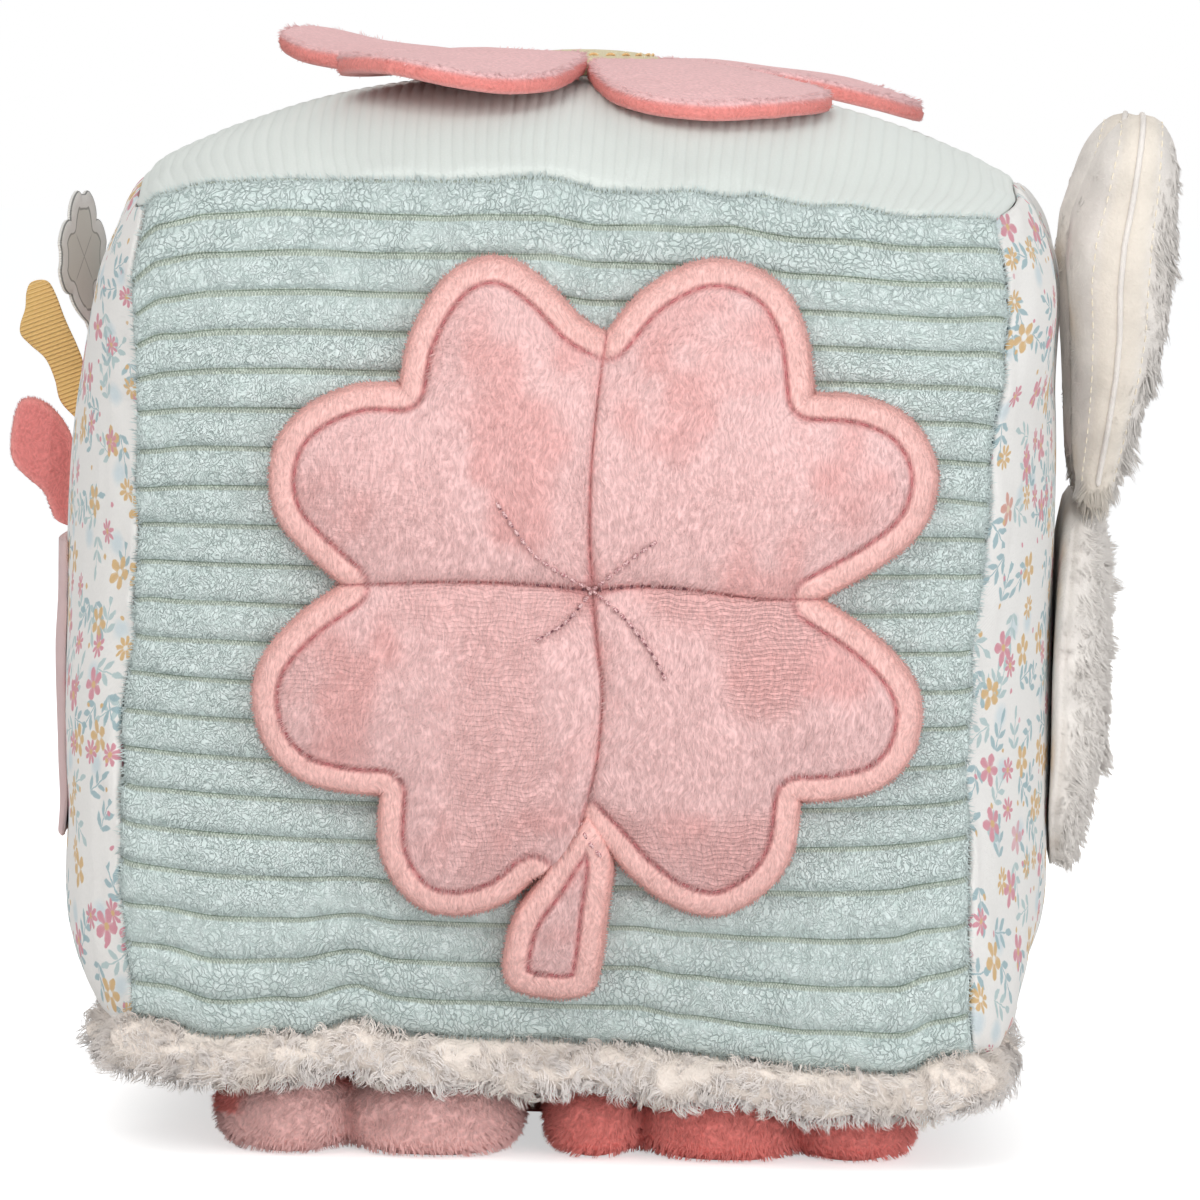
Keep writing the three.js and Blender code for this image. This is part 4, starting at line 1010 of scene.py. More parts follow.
def ribRows(panel, steps):
    # places up the panel, closer together round each groove
    inRib = np.array(steps)
    rows = (np.arange(panel["ribs"])[:, None] + inRib[None]).ravel()
    return np.append(rows, panel["ribs"]) / panel["ribs"] * 2 - 1


def pucker(flat, fromSeam, seed, size, depth, reach):
    level = onLevel(flat)
    return depth * lumps(level, size, seed) * np.exp(-fromSeam / reach)


def makeCover():
    mintLook, cottonLook, fineCord = ribbedPlushLook(), printedCottonLook(), cordLook()
    fineSteps = (0, 0.045, 0.08, 0.115, 0.17, 0.25, 0.36, 0.5, 0.64, 0.75, 0.83, 0.885, 0.92, 0.955)
    coarseSteps = (0, 0.07, 0.12, 0.24, 0.5, 0.76, 0.88, 0.93)
    _, outer = coverPanel("front_panel_plush", "front", evenShares(frontPanel["columns"]),
                          ribRows(frontPanel, fineSteps), ribbedRelief(frontPanel, 11), frontPanel["cloth"],
                          mintLook, "front_panel", frontPanel["ribs"])
    outer["tint"] = evenTint(outer, tone(0.83, 0.88, 0.87))
    edge = {"perSquare": 7.0, "length": 1.3, "vary": 0.5, "width": 0.22, "sunk": 0.3, "stray": 0.35,
            "curl": 0.15, "turns": 0.4, "tintVary": 0.08, "rootShade": 0.85, "tipLight": 0.03}
    hem = growPile("front_panel_edge_pile", outer, edge, fibreLook("mint_fibres"), 15,
                   lambda roots, normals: 0.5 * normals + 0.8 * unit((roots - block["centre"]) * [1, 0, 1]),
                   1 - fade(outer["fromSeam"], 0.5, 1.5))
    settlePiece(hem, "root")
    coverPanel("back_panel_plush", "back", evenShares(backPanel["columns"]), ribRows(backPanel, coarseSteps),
               ribbedRelief(backPanel, 31), backPanel["cloth"], mintLook, "back_panel",
               backPanel["ribs"])

    def cordRelief(flat, up, fromSeam):
        wale = np.abs(np.sin(math.pi * flat[..., 0] / topPanel["wale"])) ** 0.7
        wrinkles = pucker(flat, fromSeam, 51, 6, 0.5, 9)
        return topPanel["waleHeight"] * wale + wrinkles + pucker(flat, fromSeam, 52, 22, 0.8, 60)

    coverPanel("top_panel_cord", "top", evenShares(topPanel["columns"]), evenShares(topPanel["rows"]),
               cordRelief, topPanel["cloth"], fineCord, "top_panel")

    def cottonRelief(seed):
        def reliefAt(flat, up, fromSeam):
            stretched = flat * np.array([1.0, 0.12])
            return (pucker(flat, fromSeam, seed, 4.5, 0.7, 7)
                    + pucker(stretched, fromSeam, seed + 1, 2.6, 0.22, 40)
                    + pucker(flat, fromSeam, seed + 2, 26, 0.9, 70))
        return reliefAt

    shares = evenShares(sidePanel["cells"])
    for sideName, seed in (("left", 61), ("right", 71)):
        coverPanel(sideName + "_panel_cotton", sideName, shares, shares, cottonRelief(seed),
                   sidePanel["cloth"], cottonLook, sideName + "_panel")


makeCover()
print("cover panels sewn")


# Curly fleece of the underside, with its fringe below the seams

def makeSherpa():
    cream, beige = tone(0.965, 0.935, 0.915), tone(0.93, 0.885, 0.845)

    def reliefAt(flat, up, fromSeam):
        level = onLevel(flat)
        fine = 0.5 * lumps(level, sherpa["lump"] / 2.4, 82)
        rough = sherpa["lumpHeight"] * (lumps(level, sherpa["lump"], 81) + fine)
        return rough * fade(fromSeam, 0, 3) + slope(sherpa["rollDown"], fromSeam)

    even = evenShares(sherpa["cells"])
    shares = (1 + sherpa["crowding"]) * even - sherpa["crowding"] * even ** 3
    look = fleeceLook("sherpa_fleece", 4.0, 1.2)
    fibres = fibreLook("sherpa_fibres")
    # the fleece under the fibres is painted beige all over, as painted shade beneath the pile
    _, outer = coverPanel("bottom_panel_fleece", "bottom", shares, shares, reliefAt, sherpa["cloth"], look,
                          "bottom_panel", tint=beige)
    # painted shade: the fibres beige in random hollows and along the seam, cream elsewhere
    hollowShade = fade(lumps(outer["points"], 6.5, 83) + 0.5 * lumps(outer["points"], 2.8, 84), -0.1, 0.8)
    hollowShade = np.maximum(hollowShade, 0.6 * fadeOut(outer["fromSeam"], 0.5, 3))
    outer["tint"] = blend(cream, beige, hollowShade)
    pile = {"perSquare": 2.6, "length": 2.9, "vary": 0.4, "width": 0.17, "steps": 5, "sunk": 0.4,
            "stray": 0.16, "curl": 0.8, "turns": 0.8, "droop": 0.05, "lock": 12, "gather": 0.6,
            "tintVary": 0.04, "rootShade": 0.97, "tipLight": 0.03, "softness": 0.95}

    def outwardOf(roots):
        aside = roots * (np.abs(roots) > sherpa["sideFrom"]) * [1, 1, 0]
        return aside / block["half"][0]

    def lean(roots, normals):
        tangled = 0.7 * lumpVectors(roots, 5.5, 91) + 0.4 * lumpVectors(roots, 2.5, 95)
        return 0.55 * normals + np.array([0, 0, -0.25]) + tangled

    def facing(roots, normals):
        # the loose pile is lit by the light that falls on its side
        tangled = 0.3 * lumpVectors(roots, 4.5, 97)
        return 0.5 * normals + 0.8 * outwardOf(roots) + np.array([0, 0, 0.45]) + tangled

    x, y = outer["points"][:, 0], outer["points"][:, 1]
    nearSeam = fadeOut(outer["fromSeam"], 16, 26)
    frontward, sideward = np.abs(y) >= np.abs(x), np.abs(x) > np.abs(y)
    sectors = {"front_left": (y < 0) & (x < 0) & frontward, "front_right": (y < 0) & (x >= 0) & frontward,
               "back": (y > 0) & frontward, "left": (x < 0) & sideward, "right": (x > 0) & sideward}
    for number, (name, inSector) in enumerate(sectors.items()):
        density = dict(pile, perSquare=pile["perSquare"] * (1.4 if name.startswith("front") else 0.8))
        fringe = growPile("fleece_fringe_" + name, outer, density, fibres, 101 + number, lean,
                          inSector * nearSeam, facing=facing)
        settlePiece(fringe, "root")
    inner = growPile("fleece_underside", outer, dict(pile, perSquare=0.5), fibres, 107, lean, 1 - nearSeam)
    settlePiece(inner, "root")


makeSherpa()
print("fleece underside grown")


# Stuffing and rattle, inside the cover

def makeInside():
    pale = tone(0.95, 0.95, 0.94)
    look = fleeceLook("fibre_stuffing", 6.0, 1.5)
    for half in ("lower", "upper"):
        source = frame["nodes"]["stuffing_" + half]
        piece = bpy.data.objects.new("stuffing_" + half + "_fibre", source.data.copy())
        scene.collection.objects.link(piece)
        remesh = piece.modifiers.new("even", "REMESH")
        remesh.mode = "VOXEL"
        remesh.voxel_size = 4.5 * mm
        shape = piece.evaluated_get(bpy.context.evaluated_depsgraph_get())
        mesh = bpy.data.meshes.new_from_object(shape)
        piece.modifiers.clear()
        piece.data = mesh
        places = np.zeros(len(mesh.vertices) * 3, np.float32)
        mesh.vertices.foreach_get("co", places)
        places = places.reshape(-1, 3) / mm
        inward = -normalsOf(piece) * (0.6 + 0.6 * lumps(places, 11, 121))[:, None]
        mesh.vertices.foreach_set("co", ((places + inward) * mm).astype(np.float32).ravel())
        full = np.tile([*pale, 1.0], (len(mesh.vertices), 1)).astype(np.float32)
        mesh.attributes.new("tint", "FLOAT_COLOR", "POINT").data.foreach_set("color", full.ravel())
        mesh.materials.clear()
        mesh.materials.append(look)
        mesh.update()
        settlePiece(piece, "root", ["stuffing_" + half])
    shell = plasticLook("rattle_plastic", paint(0.92, 0.92, 0.90), paint(0.88, 0.88, 0.87))
    beadColours = ((0.86, 0.70, 0.36), (0.80, 0.48, 0.46), (0.45, 0.62, 0.60))
    for name in ("rattle_cup_upper", "rattle_cup_lower"):
        frame["nodes"][name].data.materials.clear()
        frame["nodes"][name].data.materials.append(shell)
    for number, shade in enumerate(beadColours):
        bead = frame["nodes"]["rattle_bead_" + str(number + 1)]
        bead.data.materials.clear()
        bead.data.materials.append(plasticLook("bead_plastic_" + str(number + 1), paint(*shade),
                                               paint(*(0.92 * v for v in shade))))


makeInside()
print("stuffing and rattle in place")


# Clover on the front: four padded leaves and a stem, sewn through to a felt backing

clover = {"centre": (6.3, 103.5), "stand": 2.8, "base": 1.1, "rim": 4.0, "rimRound": 2.4, "stitchFrom": 4.1,
          "stitchDepth": 0.95, "stitchWidth": 0.5, "swell": 2.5, "swellReach": 8.0, "seamWidth": 0.9,
          "seamDepth": 0.28, "pillowWidth": 7.0, "pillowDepth": 0.24, "skirt": 1.9,
          "nap": {"perSquare": 2.6, "length": 1.4, "width": 0.18, "sunk": 0.15, "stray": 0.12}}
# outlines in millimetres from the clover's centre, across and up, lobe by lobe
verticalUp = [(0, 0), (-0.6, 10), (-0.5, 21), (0.3, 32), (1.6, 43.7)]
verticalDown = [(0, 0), (1.2, -10.7), (2.1, -17.6), (1.2, -29.7), (-1.4, -40.1)]
horizontalLeft = [(0, 0), (-12, 1.0), (-26, 1.0), (-36, 0.4), (-42.9, -0.1)]
horizontalRight = [(0, 0), (8.4, 0.9), (16.4, 0.5), (28.3, -1), (38.7, -1.2)]
leaves = {
    "upper_left": {"middle": (-23, 23), "comb": 0.15, "outer": [
        [(1.6, 43.7), (-3.1, 46.3), (-8.3, 51.5), (-14.3, 55.6), (-19.5, 56.4), (-24.9, 54.1), (-29.2, 48.9),
         (-32.3, 42), (-33.6, 34.4)],
        [(-33.6, 34.4), (-41.1, 34.1), (-48.9, 30.8), (-54.1, 25.6), (-56, 18.7), (-54.8, 11.8), (-50.6, 6.4),
         (-42.9, -0.1)]],
        "seams": (horizontalLeft, verticalUp)},
    "upper_right": {"middle": (24, 23), "comb": 0.1, "outer": [
        [(1.6, 43.7), (8.1, 51.3), (16.8, 56.1), (24.5, 56), (31.4, 52.2), (35.6, 44.6), (37.2, 34)],
        [(37.2, 34), (46.1, 33.3), (53.7, 29.9), (58.0, 23.8), (58.6, 16.9), (55.6, 10), (48.4, 4.2),
         (38.7, -1.2)]],
        "seams": (horizontalRight, verticalUp)},
    "lower_left": {"middle": (-24, -23), "comb": 0.35, "outer": [
        [(-42.9, -0.1), (-50.6, -5.9), (-56.8, -13.3), (-58.4, -21), (-55.8, -28.9), (-49.8, -34),
         (-42, -35.8), (-35.9, -36)],
        [(-35.9, -36), (-36, -45.3), (-33.3, -52), (-28.2, -56.3), (-21.3, -57), (-14.6, -54.7),
         (-9.6, -50.5)],
        [(-9.6, -50.5), (-5, -46.5), (-1.4, -40.1)]],
        "seams": (horizontalLeft, verticalDown)},
    "lower_right": {"middle": (24, -23), "comb": 0.6, "outer": [
        [(38.7, -1.2), (47.9, -7.3), (54.6, -14.2), (56.9, -21.1), (55.1, -28.9), (49.6, -34), (41.6, -35.8),
         (36.2, -36)],
        [(36.2, -36), (34.9, -45.3), (30.6, -52), (23, -56.3), (15, -54.8), (8.1, -50), (3.4, -45),
         (-1.4, -40.1)]],
        "seams": (horizontalRight, verticalDown)},
}
stemShape = {
    "middle": (-5.4, -60.5),
    "left": [(-0.2, -39.2), (-4.6, -45), (-8.2, -50.9), (-12.4, -57.4), (-14.3, -65.6), (-13.4, -69.9),
             (-9.6, -71.6)],
    "right": [(-9.6, -71.6), (-4.4, -72), (0.2, -70.8), (1.8, -66.5), (2.9, -57), (3.9, -47.5), (2.4, -42.5),
              (-0.2, -39.2)]}
# groove is painted shade, for the top-stitch groove and the seam valleys
rosePlush = {"top": tone(0.905, 0.745, 0.735), "worn": tone(0.875, 0.655, 0.64),
             "rim": tone(0.925, 0.735, 0.71), "wall": tone(0.925, 0.70, 0.67),
             "groove": tone(0.815, 0.575, 0.57)}


def frontStand(x, z):
    half, up = block["half"], z - block["centre"][2]
    return half[1] + sides["front"][3] * crownShare(x / half[0]) * crownShare(up / half[2])


def onFront(across, up, height):
    x, z = clover["centre"][0] + across, clover["centre"][1] + up
    return joined(x, -(frontStand(x, z) + clover["stand"] + height), z)


def rimmedHeights(places, outer, seamLines, swell):
    # rim band, top-stitch groove and swell by distance from the sewn edge; a soft valley along inner seams
    fromEdge = closestGap(places, outer)
    height = clover["rim"] * (0.62 + 0.38 * edgeRound(fromEdge, clover["rimRound"]))
    inner = np.maximum(0, fromEdge - clover["stitchFrom"])
    height += swell * (1 - np.exp(-inner / clover["swellReach"]))
    groove = np.exp(-((fromEdge - clover["stitchFrom"]) / clover["stitchWidth"]) ** 2)
    valley = np.ones(len(places))
    for line in seamLines:
        fromSeam = closestGap(places, line)
        pillow = clover["pillowDepth"] * np.exp(-fromSeam / clover["pillowWidth"])
        valley *= 1 - clover["seamDepth"] * np.exp(-fromSeam / clover["seamWidth"]) - pillow
    return fromEdge, height * valley - clover["stitchDepth"] * groove * valley, groove, valley


def leafShares():
    # rings close together where the rim and its stitching lie
    return np.unique(np.concatenate([np.linspace(0.04, 0.62, 22), np.linspace(0.62, 0.99, 56),
                                     np.linspace(0.99, 1.0, 4)]))


def cloverPad(name, outer, outline, middle, seamLines, swell, comb, plush, nodeName, seed):
    middle = np.array(middle, float)

    def topAt(places):
        return clover["base"] + rimmedHeights(places, outer, seamLines, swell)[1]

    def bottomAt(places):
        fromEdge = closestGap(places, outer)
        return clover["base"] * 0.5 - clover["skirt"] * fadeOut(fromEdge, 0.4, 1.6)

    patch = paddedPatch(outline, middle, leafShares(), (1.0, 0.97, 0.93, 0.85, 0.6, 0.3), topAt, bottomAt,
                        onFront, 5, 0.55)
    fromEdge, _, groove, valley = rimmedHeights(patch["flat"], outer, seamLines, swell)
    rimShare = fadeOut(fromEdge, clover["stitchFrom"] - 0.8, clover["stitchFrom"] + 0.2)
    wallShare = np.maximum(fade(patch["wall"], 0, 0.3), fadeOut(fromEdge, 0.0, 1.1))
    wallShare = wallShare * fadeOut(1 - valley, 0.24, 0.4)
    level = onLevel(patch["flat"])
    combed = comb * fade(lumps(level, 15, seed), -0.25, 0.55) * (1 - rimShare)
    worn = np.maximum(combed, 0.75 * fade(
        lumps(level, 14, seed + 7) + 0.5 * lumps(level, 5, seed + 8), -0.1, 0.8))
    deep = fade(1 - valley, 0.38, 0.5)
    tint = rosePlush["top"]
    # painted shade: the groove colour in the top-stitch groove and in the deep of the seam valleys
    for part, share in (("worn", worn), ("rim", rimShare), ("wall", wallShare * 0.85),
                        ("groove", np.clip(groove * 0.95, 0, 1)), ("groove", deep * 0.75)):
        tint = blend(tint, rosePlush[part], share)
    piece = meshPiece(name, patch, plush, {"tint": tint, "comb": combed})
    settlePiece(piece, "root", [nodeName])

    def lean(roots, normals):
        flat = roots[:, [0, 2]] - clover["centre"]
        level = onLevel(flat)
        angle = -1.95 + 0.75 * lumps(level, 22, seed + 1) + 0.25 * lumps(level, 5, seed + 2)
        along = joined(np.cos(angle), np.zeros(len(roots)), np.sin(angle))
        away = unit(onLevel(flat - middle)[:, [0, 2, 1]])
        edgeShare = fadeOut(closestGap(flat, outer), 0.5, 3.5)[:, None]
        return 0.42 * normals + along * (1 - 0.8 * edgeShare) + 0.7 * away * edgeShare

    base = baseOf(piece, patch, tint)
    visible = (patch["wall"] < 0.7) * (1 - 0.75 * np.clip(groove + deep, 0, 1)) * (1 - 0.7 * combed)
    shorter = 1 - 0.5 * np.maximum(rimShare, wallShare)
    coat = growPile(name + "_nap", base, clover["nap"], roseFibres, seed + 5, lean, visible, shorter)
    settlePiece(coat, "root")


def makeClover():
    plush = plushLook("rose_plush", (2.6, 1.4, 0.75), depth=0.4)
    for number, (leafName, leaf) in enumerate(leaves.items()):
        outerParts = [smoothPath(part) for part in leaf["outer"]]
        outer = np.vstack(outerParts[:2])
        wholeOuter = np.vstack(outerParts)
        first, second = (smoothPath(seam) for seam in leaf["seams"])
        # from the end of the outer edge back through the centre to its start
        if leafName.startswith("upper"):
            inward, outwardSeam = first[::-1], second
        else:
            inward, outwardSeam = second[::-1], first
        outline = np.vstack([wholeOuter, inward[1:], outwardSeam[1:-1]])
        cloverPad("clover_leaf_" + leafName + "_pad", outer, outline, leaf["middle"], (first, second),
                  clover["swell"], leaf["comb"], plush, "clover_leaf_" + leafName, 140 + 10 * number)
    outer = np.vstack([smoothPath(stemShape["left"]), smoothPath(stemShape["right"])[1:]])
    cloverPad("clover_stem_pad", outer, outer[:-1], stemShape["middle"], (), 1.4, 0.2, plush, "clover_stem",
              190)

    # felt backing under the leaves
    outline = np.vstack([smoothPath(part, 1.5) for leaf in leaves.values() for part in leaf["outer"][:2]])
    outline = outline[np.argsort(np.arctan2(outline[:, 1], outline[:, 0]))] * 0.955
    patch = paddedPatch(outline, (0, 0), np.linspace(0.1, 1, 24), (1.0, 0.85, 0.7, 0.5, 0.25),
                        lambda p: np.full(len(p), 0.9), lambda p: np.full(len(p), 0.15), onFront, 1, 0.05)
    felt = meshPiece("clover_backing_felt", patch,
                     feltLook("rose_felt", paint(0.87, 0.63, 0.61), paint(0.80, 0.54, 0.52)))
    settlePiece(felt, "root", ["clover_backing"])
    float(flatArea(outline)) * mm * mm
    makeCloverStitches()


def flatArea(outline):
    x, y = outline[:, 0], outline[:, 1]
    return abs((x * np.roll(y, -1) - y * np.roll(x, -1)).sum()) / 2


def padSurface(flat, leafNames):
    # where a stitch lies on the leaves, and which way is up there
    heights = []
    for leafName in leafNames:
        leaf = leaves[leafName]
        outer = np.vstack([smoothPath(part) for part in leaf["outer"][:2]])
        seamLines = [smoothPath(seam) for seam in leaf["seams"]]
        heights.append(rimmedHeights(flat, outer, seamLines, clover["swell"])[1])
    height = clover["base"] + np.max(heights, axis=0)
    return standing(onFront(flat[:, 0], flat[:, 1], height), (0, -1, 0))


def makeCloverStitches():
    mauve = threadLook("mauve_thread", paint(0.63, 0.39, 0.41), paint(0.91, 0.77, 0.76))
    deepRose = threadLook("rose_thread", paint(0.70, 0.40, 0.42), paint(0.80, 0.52, 0.52))
    veins = {"upper_left": [(-16.7, 15.2), (-13, 9.9), (-9.9, 6.1), (-5.9, 3.3), (0, 0)],
             "upper_right": [(11.2, 8.9), (7.5, 6.3), (3.9, 3.3), (0, 0)],
             "lower_left": [(-9.7, -8.7), (-6.6, -6.9), (-4.5, -5.5), (-2.4, -3.2), (0, 0)],
             "lower_right": [(13.1, -15.2), (10.2, -10), (5.9, -4.7), (3, -2.2), (0, 0)]}
    runs = [padSurface(smoothPath(line, 0.5), [leafName]) for leafName, line in veins.items()]
    runs.append(padSurface(smoothPath([(-1.4, -40.1), (-0.2, -43.2), (2.4, -46.4)], 0.5), ["lower_right"]))
    veinThread = {"pitch": 1.75, "fill": 0.92, "width": 0.74, "rise": 0.75, "sunk": 0.0}
    piece = threadPiece("clover_vein_stitches", runs, veinThread, mauve)
    settlePiece(piece, "root")
    # along the seam between the leaves, only the needle holes next to the centre are marked
    runs += [padSurface(smoothPath(line, 0.5)[:reach], [leafName]) for leafName, line, reach in
             (("lower_right", horizontalRight, 34), ("lower_left", horizontalLeft, 22))]
    holeShade = threadLook("needle_hole_shade", paint(0.42, 0.24, 0.27), paint(0.50, 0.31, 0.34))
    # one point further on, where the needle goes in between two stitches: a short dark thread there is
    # painted shade in the needle hole
    further = [(line[1:], normals[1:]) for line, normals in runs]
    piece = threadPiece("clover_needle_holes", further, dict(veinThread, fill=0.26, width=0.44), holeShade)
    settlePiece(piece, "root")
    runs = []
    for leafName, leaf in leaves.items():
        for part in leaf["outer"][:2]:
            inset = insetLine(smoothPath(part, 0.6), np.array(leaf["middle"]), clover["stitchFrom"])
            runs.append(padSurface(inset, [leafName]))
    stemLine = np.vstack([smoothPath(stemShape["left"], 0.6), smoothPath(stemShape["right"], 0.6)[1:]])
    inset = insetLine(stemLine, np.array(stemShape["middle"]), clover["stitchFrom"])
    height = clover["base"] + rimmedHeights(inset, stemLine, (), 1.4)[1]
    runs.append(standing(onFront(inset[:, 0], inset[:, 1], height), (0, -1, 0)))
    topThread = {"pitch": 2.7, "fill": 0.78, "width": 0.42, "rise": 0.25, "sunk": 0.06}
    piece = threadPiece("clover_top_stitches", runs, topThread, deepRose)
    settlePiece(piece, "root")


def insetLine(line, middle, inset):
    # a line moved towards the middle of its pad by inset, without the loops that corners would make
    edge = np.gradient(line, axis=0)
    inward = unit(joined(-edge[:, 1], edge[:, 0]))
    inward *= np.sign(((middle - line) * inward).sum())
    moved = line + inward * inset
    return moved[closestGap(moved, line) > inset * 0.96]


roseFibres = fibreLook("rose_fibres")
makeClover()
print("clover sewn on")


# Flower on the top: five padded petals round a cream centre

flower = {"centre": (2.0, -4.0), "centreRadius": 13.3, "centreRim": 3.0, "centreSwell": 1.4, "firstPetal": 18,
          "root": 14.0, "rim": 3.4, "swell": 0.6, "lengths": (49.0, 47.0, 45.5, 45.0, 44.0),
          "halfWidth": 21.0, "lifts": (5.0, 3.0, 13.5, 6.5, 1.2),
          "raised": (0.0, 0.0, 0.0, 1.2, 0.0), "curl": 2.2, "clearance": 0.3, "rimRound": 1.3, "sewnAt": 0.86,
          "nap": {"perSquare": 3.6, "length": 1.15, "width": 0.16, "sunk": 0.12, "stray": 0.2,
                  "rootShade": 1.0, "tipLight": 0.1}}
petalHalf = [(0, 0.41), (0.06, 0.53), (0.14, 0.66), (0.33, 0.86), (0.55, 1), (0.75, 0.93), (0.88, 0.7),
             (0.96, 0.4), (1.0, 0)]


def topStand(x, y):
    half = block["half"]
    crown = sides["top"][3] * crownShare(x / half[0]) * crownShare(y / half[1])
    return block["centre"][2] + half[2] + crown + flower["clearance"]


def makeFlower():
    centreX, centreY = flower["centre"]
    plush = plushLook("petal_plush", (1.5, 2.6, 1.5), depth=0.35, streak=(0.89, 1.08))
    shades = {"top": tone(0.92, 0.745, 0.745), "side": tone(0.885, 0.545, 0.52)}
    for petal, lift in enumerate(flower["lifts"]):
        angle = math.radians(flower["firstPetal"] + 72 * petal)
        length = flower["lengths"][petal]
        outline = sameBothSides(petalHalf, flower["halfWidth"], length, 0.8)

        def placeAt(u, v, height):
            radius = flower["root"] + v
            x = centreX + radius * math.cos(angle) - u * math.sin(angle)
            y = centreY + radius * math.sin(angle) + u * math.cos(angle)
            raised = flower["raised"][petal] + lift * np.maximum(0, v / length) ** flower["curl"]
            level = joined(u, v, np.full_like(u, 40.0 * petal))
            ripple = 0.7 * lumps(level, 17, 211) * fade(v, 6, 26)
            return joined(x, y, topStand(x, y) + height + raised + ripple)

        def topAt(places):
            fromEdge = closestGap(places, closed(outline))
            rounded = edgeRound(fromEdge, flower["rimRound"])
            return flower["rim"] * (0.86 + 0.14 * rounded) + flower["swell"] * fade(fromEdge, 1, 12)

        patch = paddedPatch(outline, (0, length * 0.5),
                            np.append(np.linspace(0.08, 0.9, 26), (0.93, 0.955, 0.975, 0.99, 1.0)),
                            (1.0, 0.9, 0.7, 0.45, 0.2), topAt, noHeight, placeAt, 6, 0.55)
        fromEdge = closestGap(patch["flat"], closed(outline))
        side = fade(patch["wall"], 0.02, 0.2) * (1 - fade(patch["wall"], 0.75, 1.0) * 0.45)
        tint = blend(shades["top"], shades["side"], side)
        name = "petal_" + str(petal + 1)
        piece = meshPiece(name + "_pad", patch, plush, {"tint": tint})
        settlePiece(piece, name, [name])

        def lean(roots, normals):
            away = unit((roots - placeAt(np.zeros(1), np.full(1, 24.0), np.zeros(1))) * np.array([1, 1, 0]))
            onTopEdge = fade(normals[:, 2:], 0.3, 0.8)
            tangled = lumpVectors(roots, 1.6, 231) * (0.9 - 0.6 * onTopEdge)
            return normals * 0.45 + away * 0.7 * onTopEdge + tangled + np.array([0, 0, -0.25])

        # painted light: the nap lighter than the petal it grows on, to make up for the shade the fibres cast
        # on one another
        base = baseOf(piece, patch, np.minimum(tint * 1.12, 1))
        topEdge = fadeOut(fromEdge, 0.6, 1.6) * (patch["wall"] < 0.02)
        wall = (patch["wall"] > 0.02) & (patch["wall"] < 0.98)
        coat = growPile(name + "_nap", base, flower["nap"], roseFibres, 240 + petal, lean,
                        np.maximum(topEdge, 0.7 * wall), 1 - 0.55 * fade(patch["wall"], 0.02, 0.2))
        settlePiece(coat, name)

    angle = np.linspace(0, 2 * math.pi, 97)[:-1]
    circle = joined(np.cos(angle), np.sin(angle)) * flower["centreRadius"]

    def centreTop(places):
        share = np.clip(np.linalg.norm(places, axis=1) / flower["centreRadius"], 0, 1)
        dome = np.sqrt(1 - share ** 2) ** 0.8
        return flower["centreRim"] * 0.8 + (flower["centreSwell"] + 0.2 * flower["centreRim"]) * dome

    def onTop(u, v, height):
        return joined(centreX + u, centreY + v, topStand(centreX + u, centreY + v) + height)

    patch = paddedPatch(circle, (0, 0), np.linspace(0.05, 1, 30), (1.0, 0.7, 0.35), centreTop, noHeight,
                        onTop, 4, 0.6)
    cream = wovenLook("cream_cotton", paint(0.945, 0.90, 0.76), paint(0.90, 0.84, 0.68), 0.5, 0.0)
    piece = meshPiece("flower_centre_pad", patch, cream, {"cloth": onLevel(patch["flat"])})
    settlePiece(piece, "root", ["flower_centre"])
    line = closed(circle) * flower["sewnAt"]
    spots = onTop(line[:, 0], line[:, 1], centreTop(line))
    tan = threadLook("tan_thread", paint(0.84, 0.66, 0.42), paint(0.93, 0.80, 0.58))
    stitches = threadPiece("flower_centre_stitches", [standing(spots, (0, 0, 1))],
                           {"pitch": 3.0, "fill": 0.7, "width": 0.5, "rise": 0.35, "sunk": 0.05}, tan)
    settlePiece(stitches, "root")


makeFlower()
print("flower sewn on")


# Bunny on the right side: stuffed head and two ears in long pile

bunny = {
    "level": 83.0, "halfHeight": 35.0, "halfWidth": 38.0, "cheek": 0.08, "swell": 9.6, "rim": 1.6,
    "clearance": 0.3, "earLength": 73.0, "earHalfWidth": 13.6, "earSplay": 18.0,
    "earThickness": [(0, 4.4), (8, 5.4), (18, 6.4), (28, 7.8), (36, 8.7), (45, 9.4), (53, 9.2), (62, 8.0),
                     (73, 6.5)],
    "earLean": [(0, 0.4), (8, 1.0), (18, 2.2), (28, 3.2), (36, 3.6), (45, 3.4), (53, 3.9), (62, 5.4),
                (73, 7.0)],
    "pile": {"perSquare": 2.6, "length": 1.9, "width": 0.24, "sunk": 0.3, "stray": 0.08, "curl": 0.2,
             "turns": 0.4, "droop": 0.05, "lock": 14, "gather": 0.6, "tintVary": 0.02, "rootShade": 0.98,
             "tipLight": 0.0, "softness": 0.96},
    "tuft": 1.3, "tuftSize": 5.0, "welt": 0.55, "stitchAside": 1.3, "pileFrom": 94.0, "earRound": 9.5,
    "earEdge": 0.6, "earCentre": 0.52}
earHalf = [(0, 0.45), (0.1, 0.66), (0.3, 0.9), (0.55, 1), (0.78, 0.88), (0.92, 0.6), (0.985, 0.28), (1.0, 0)]


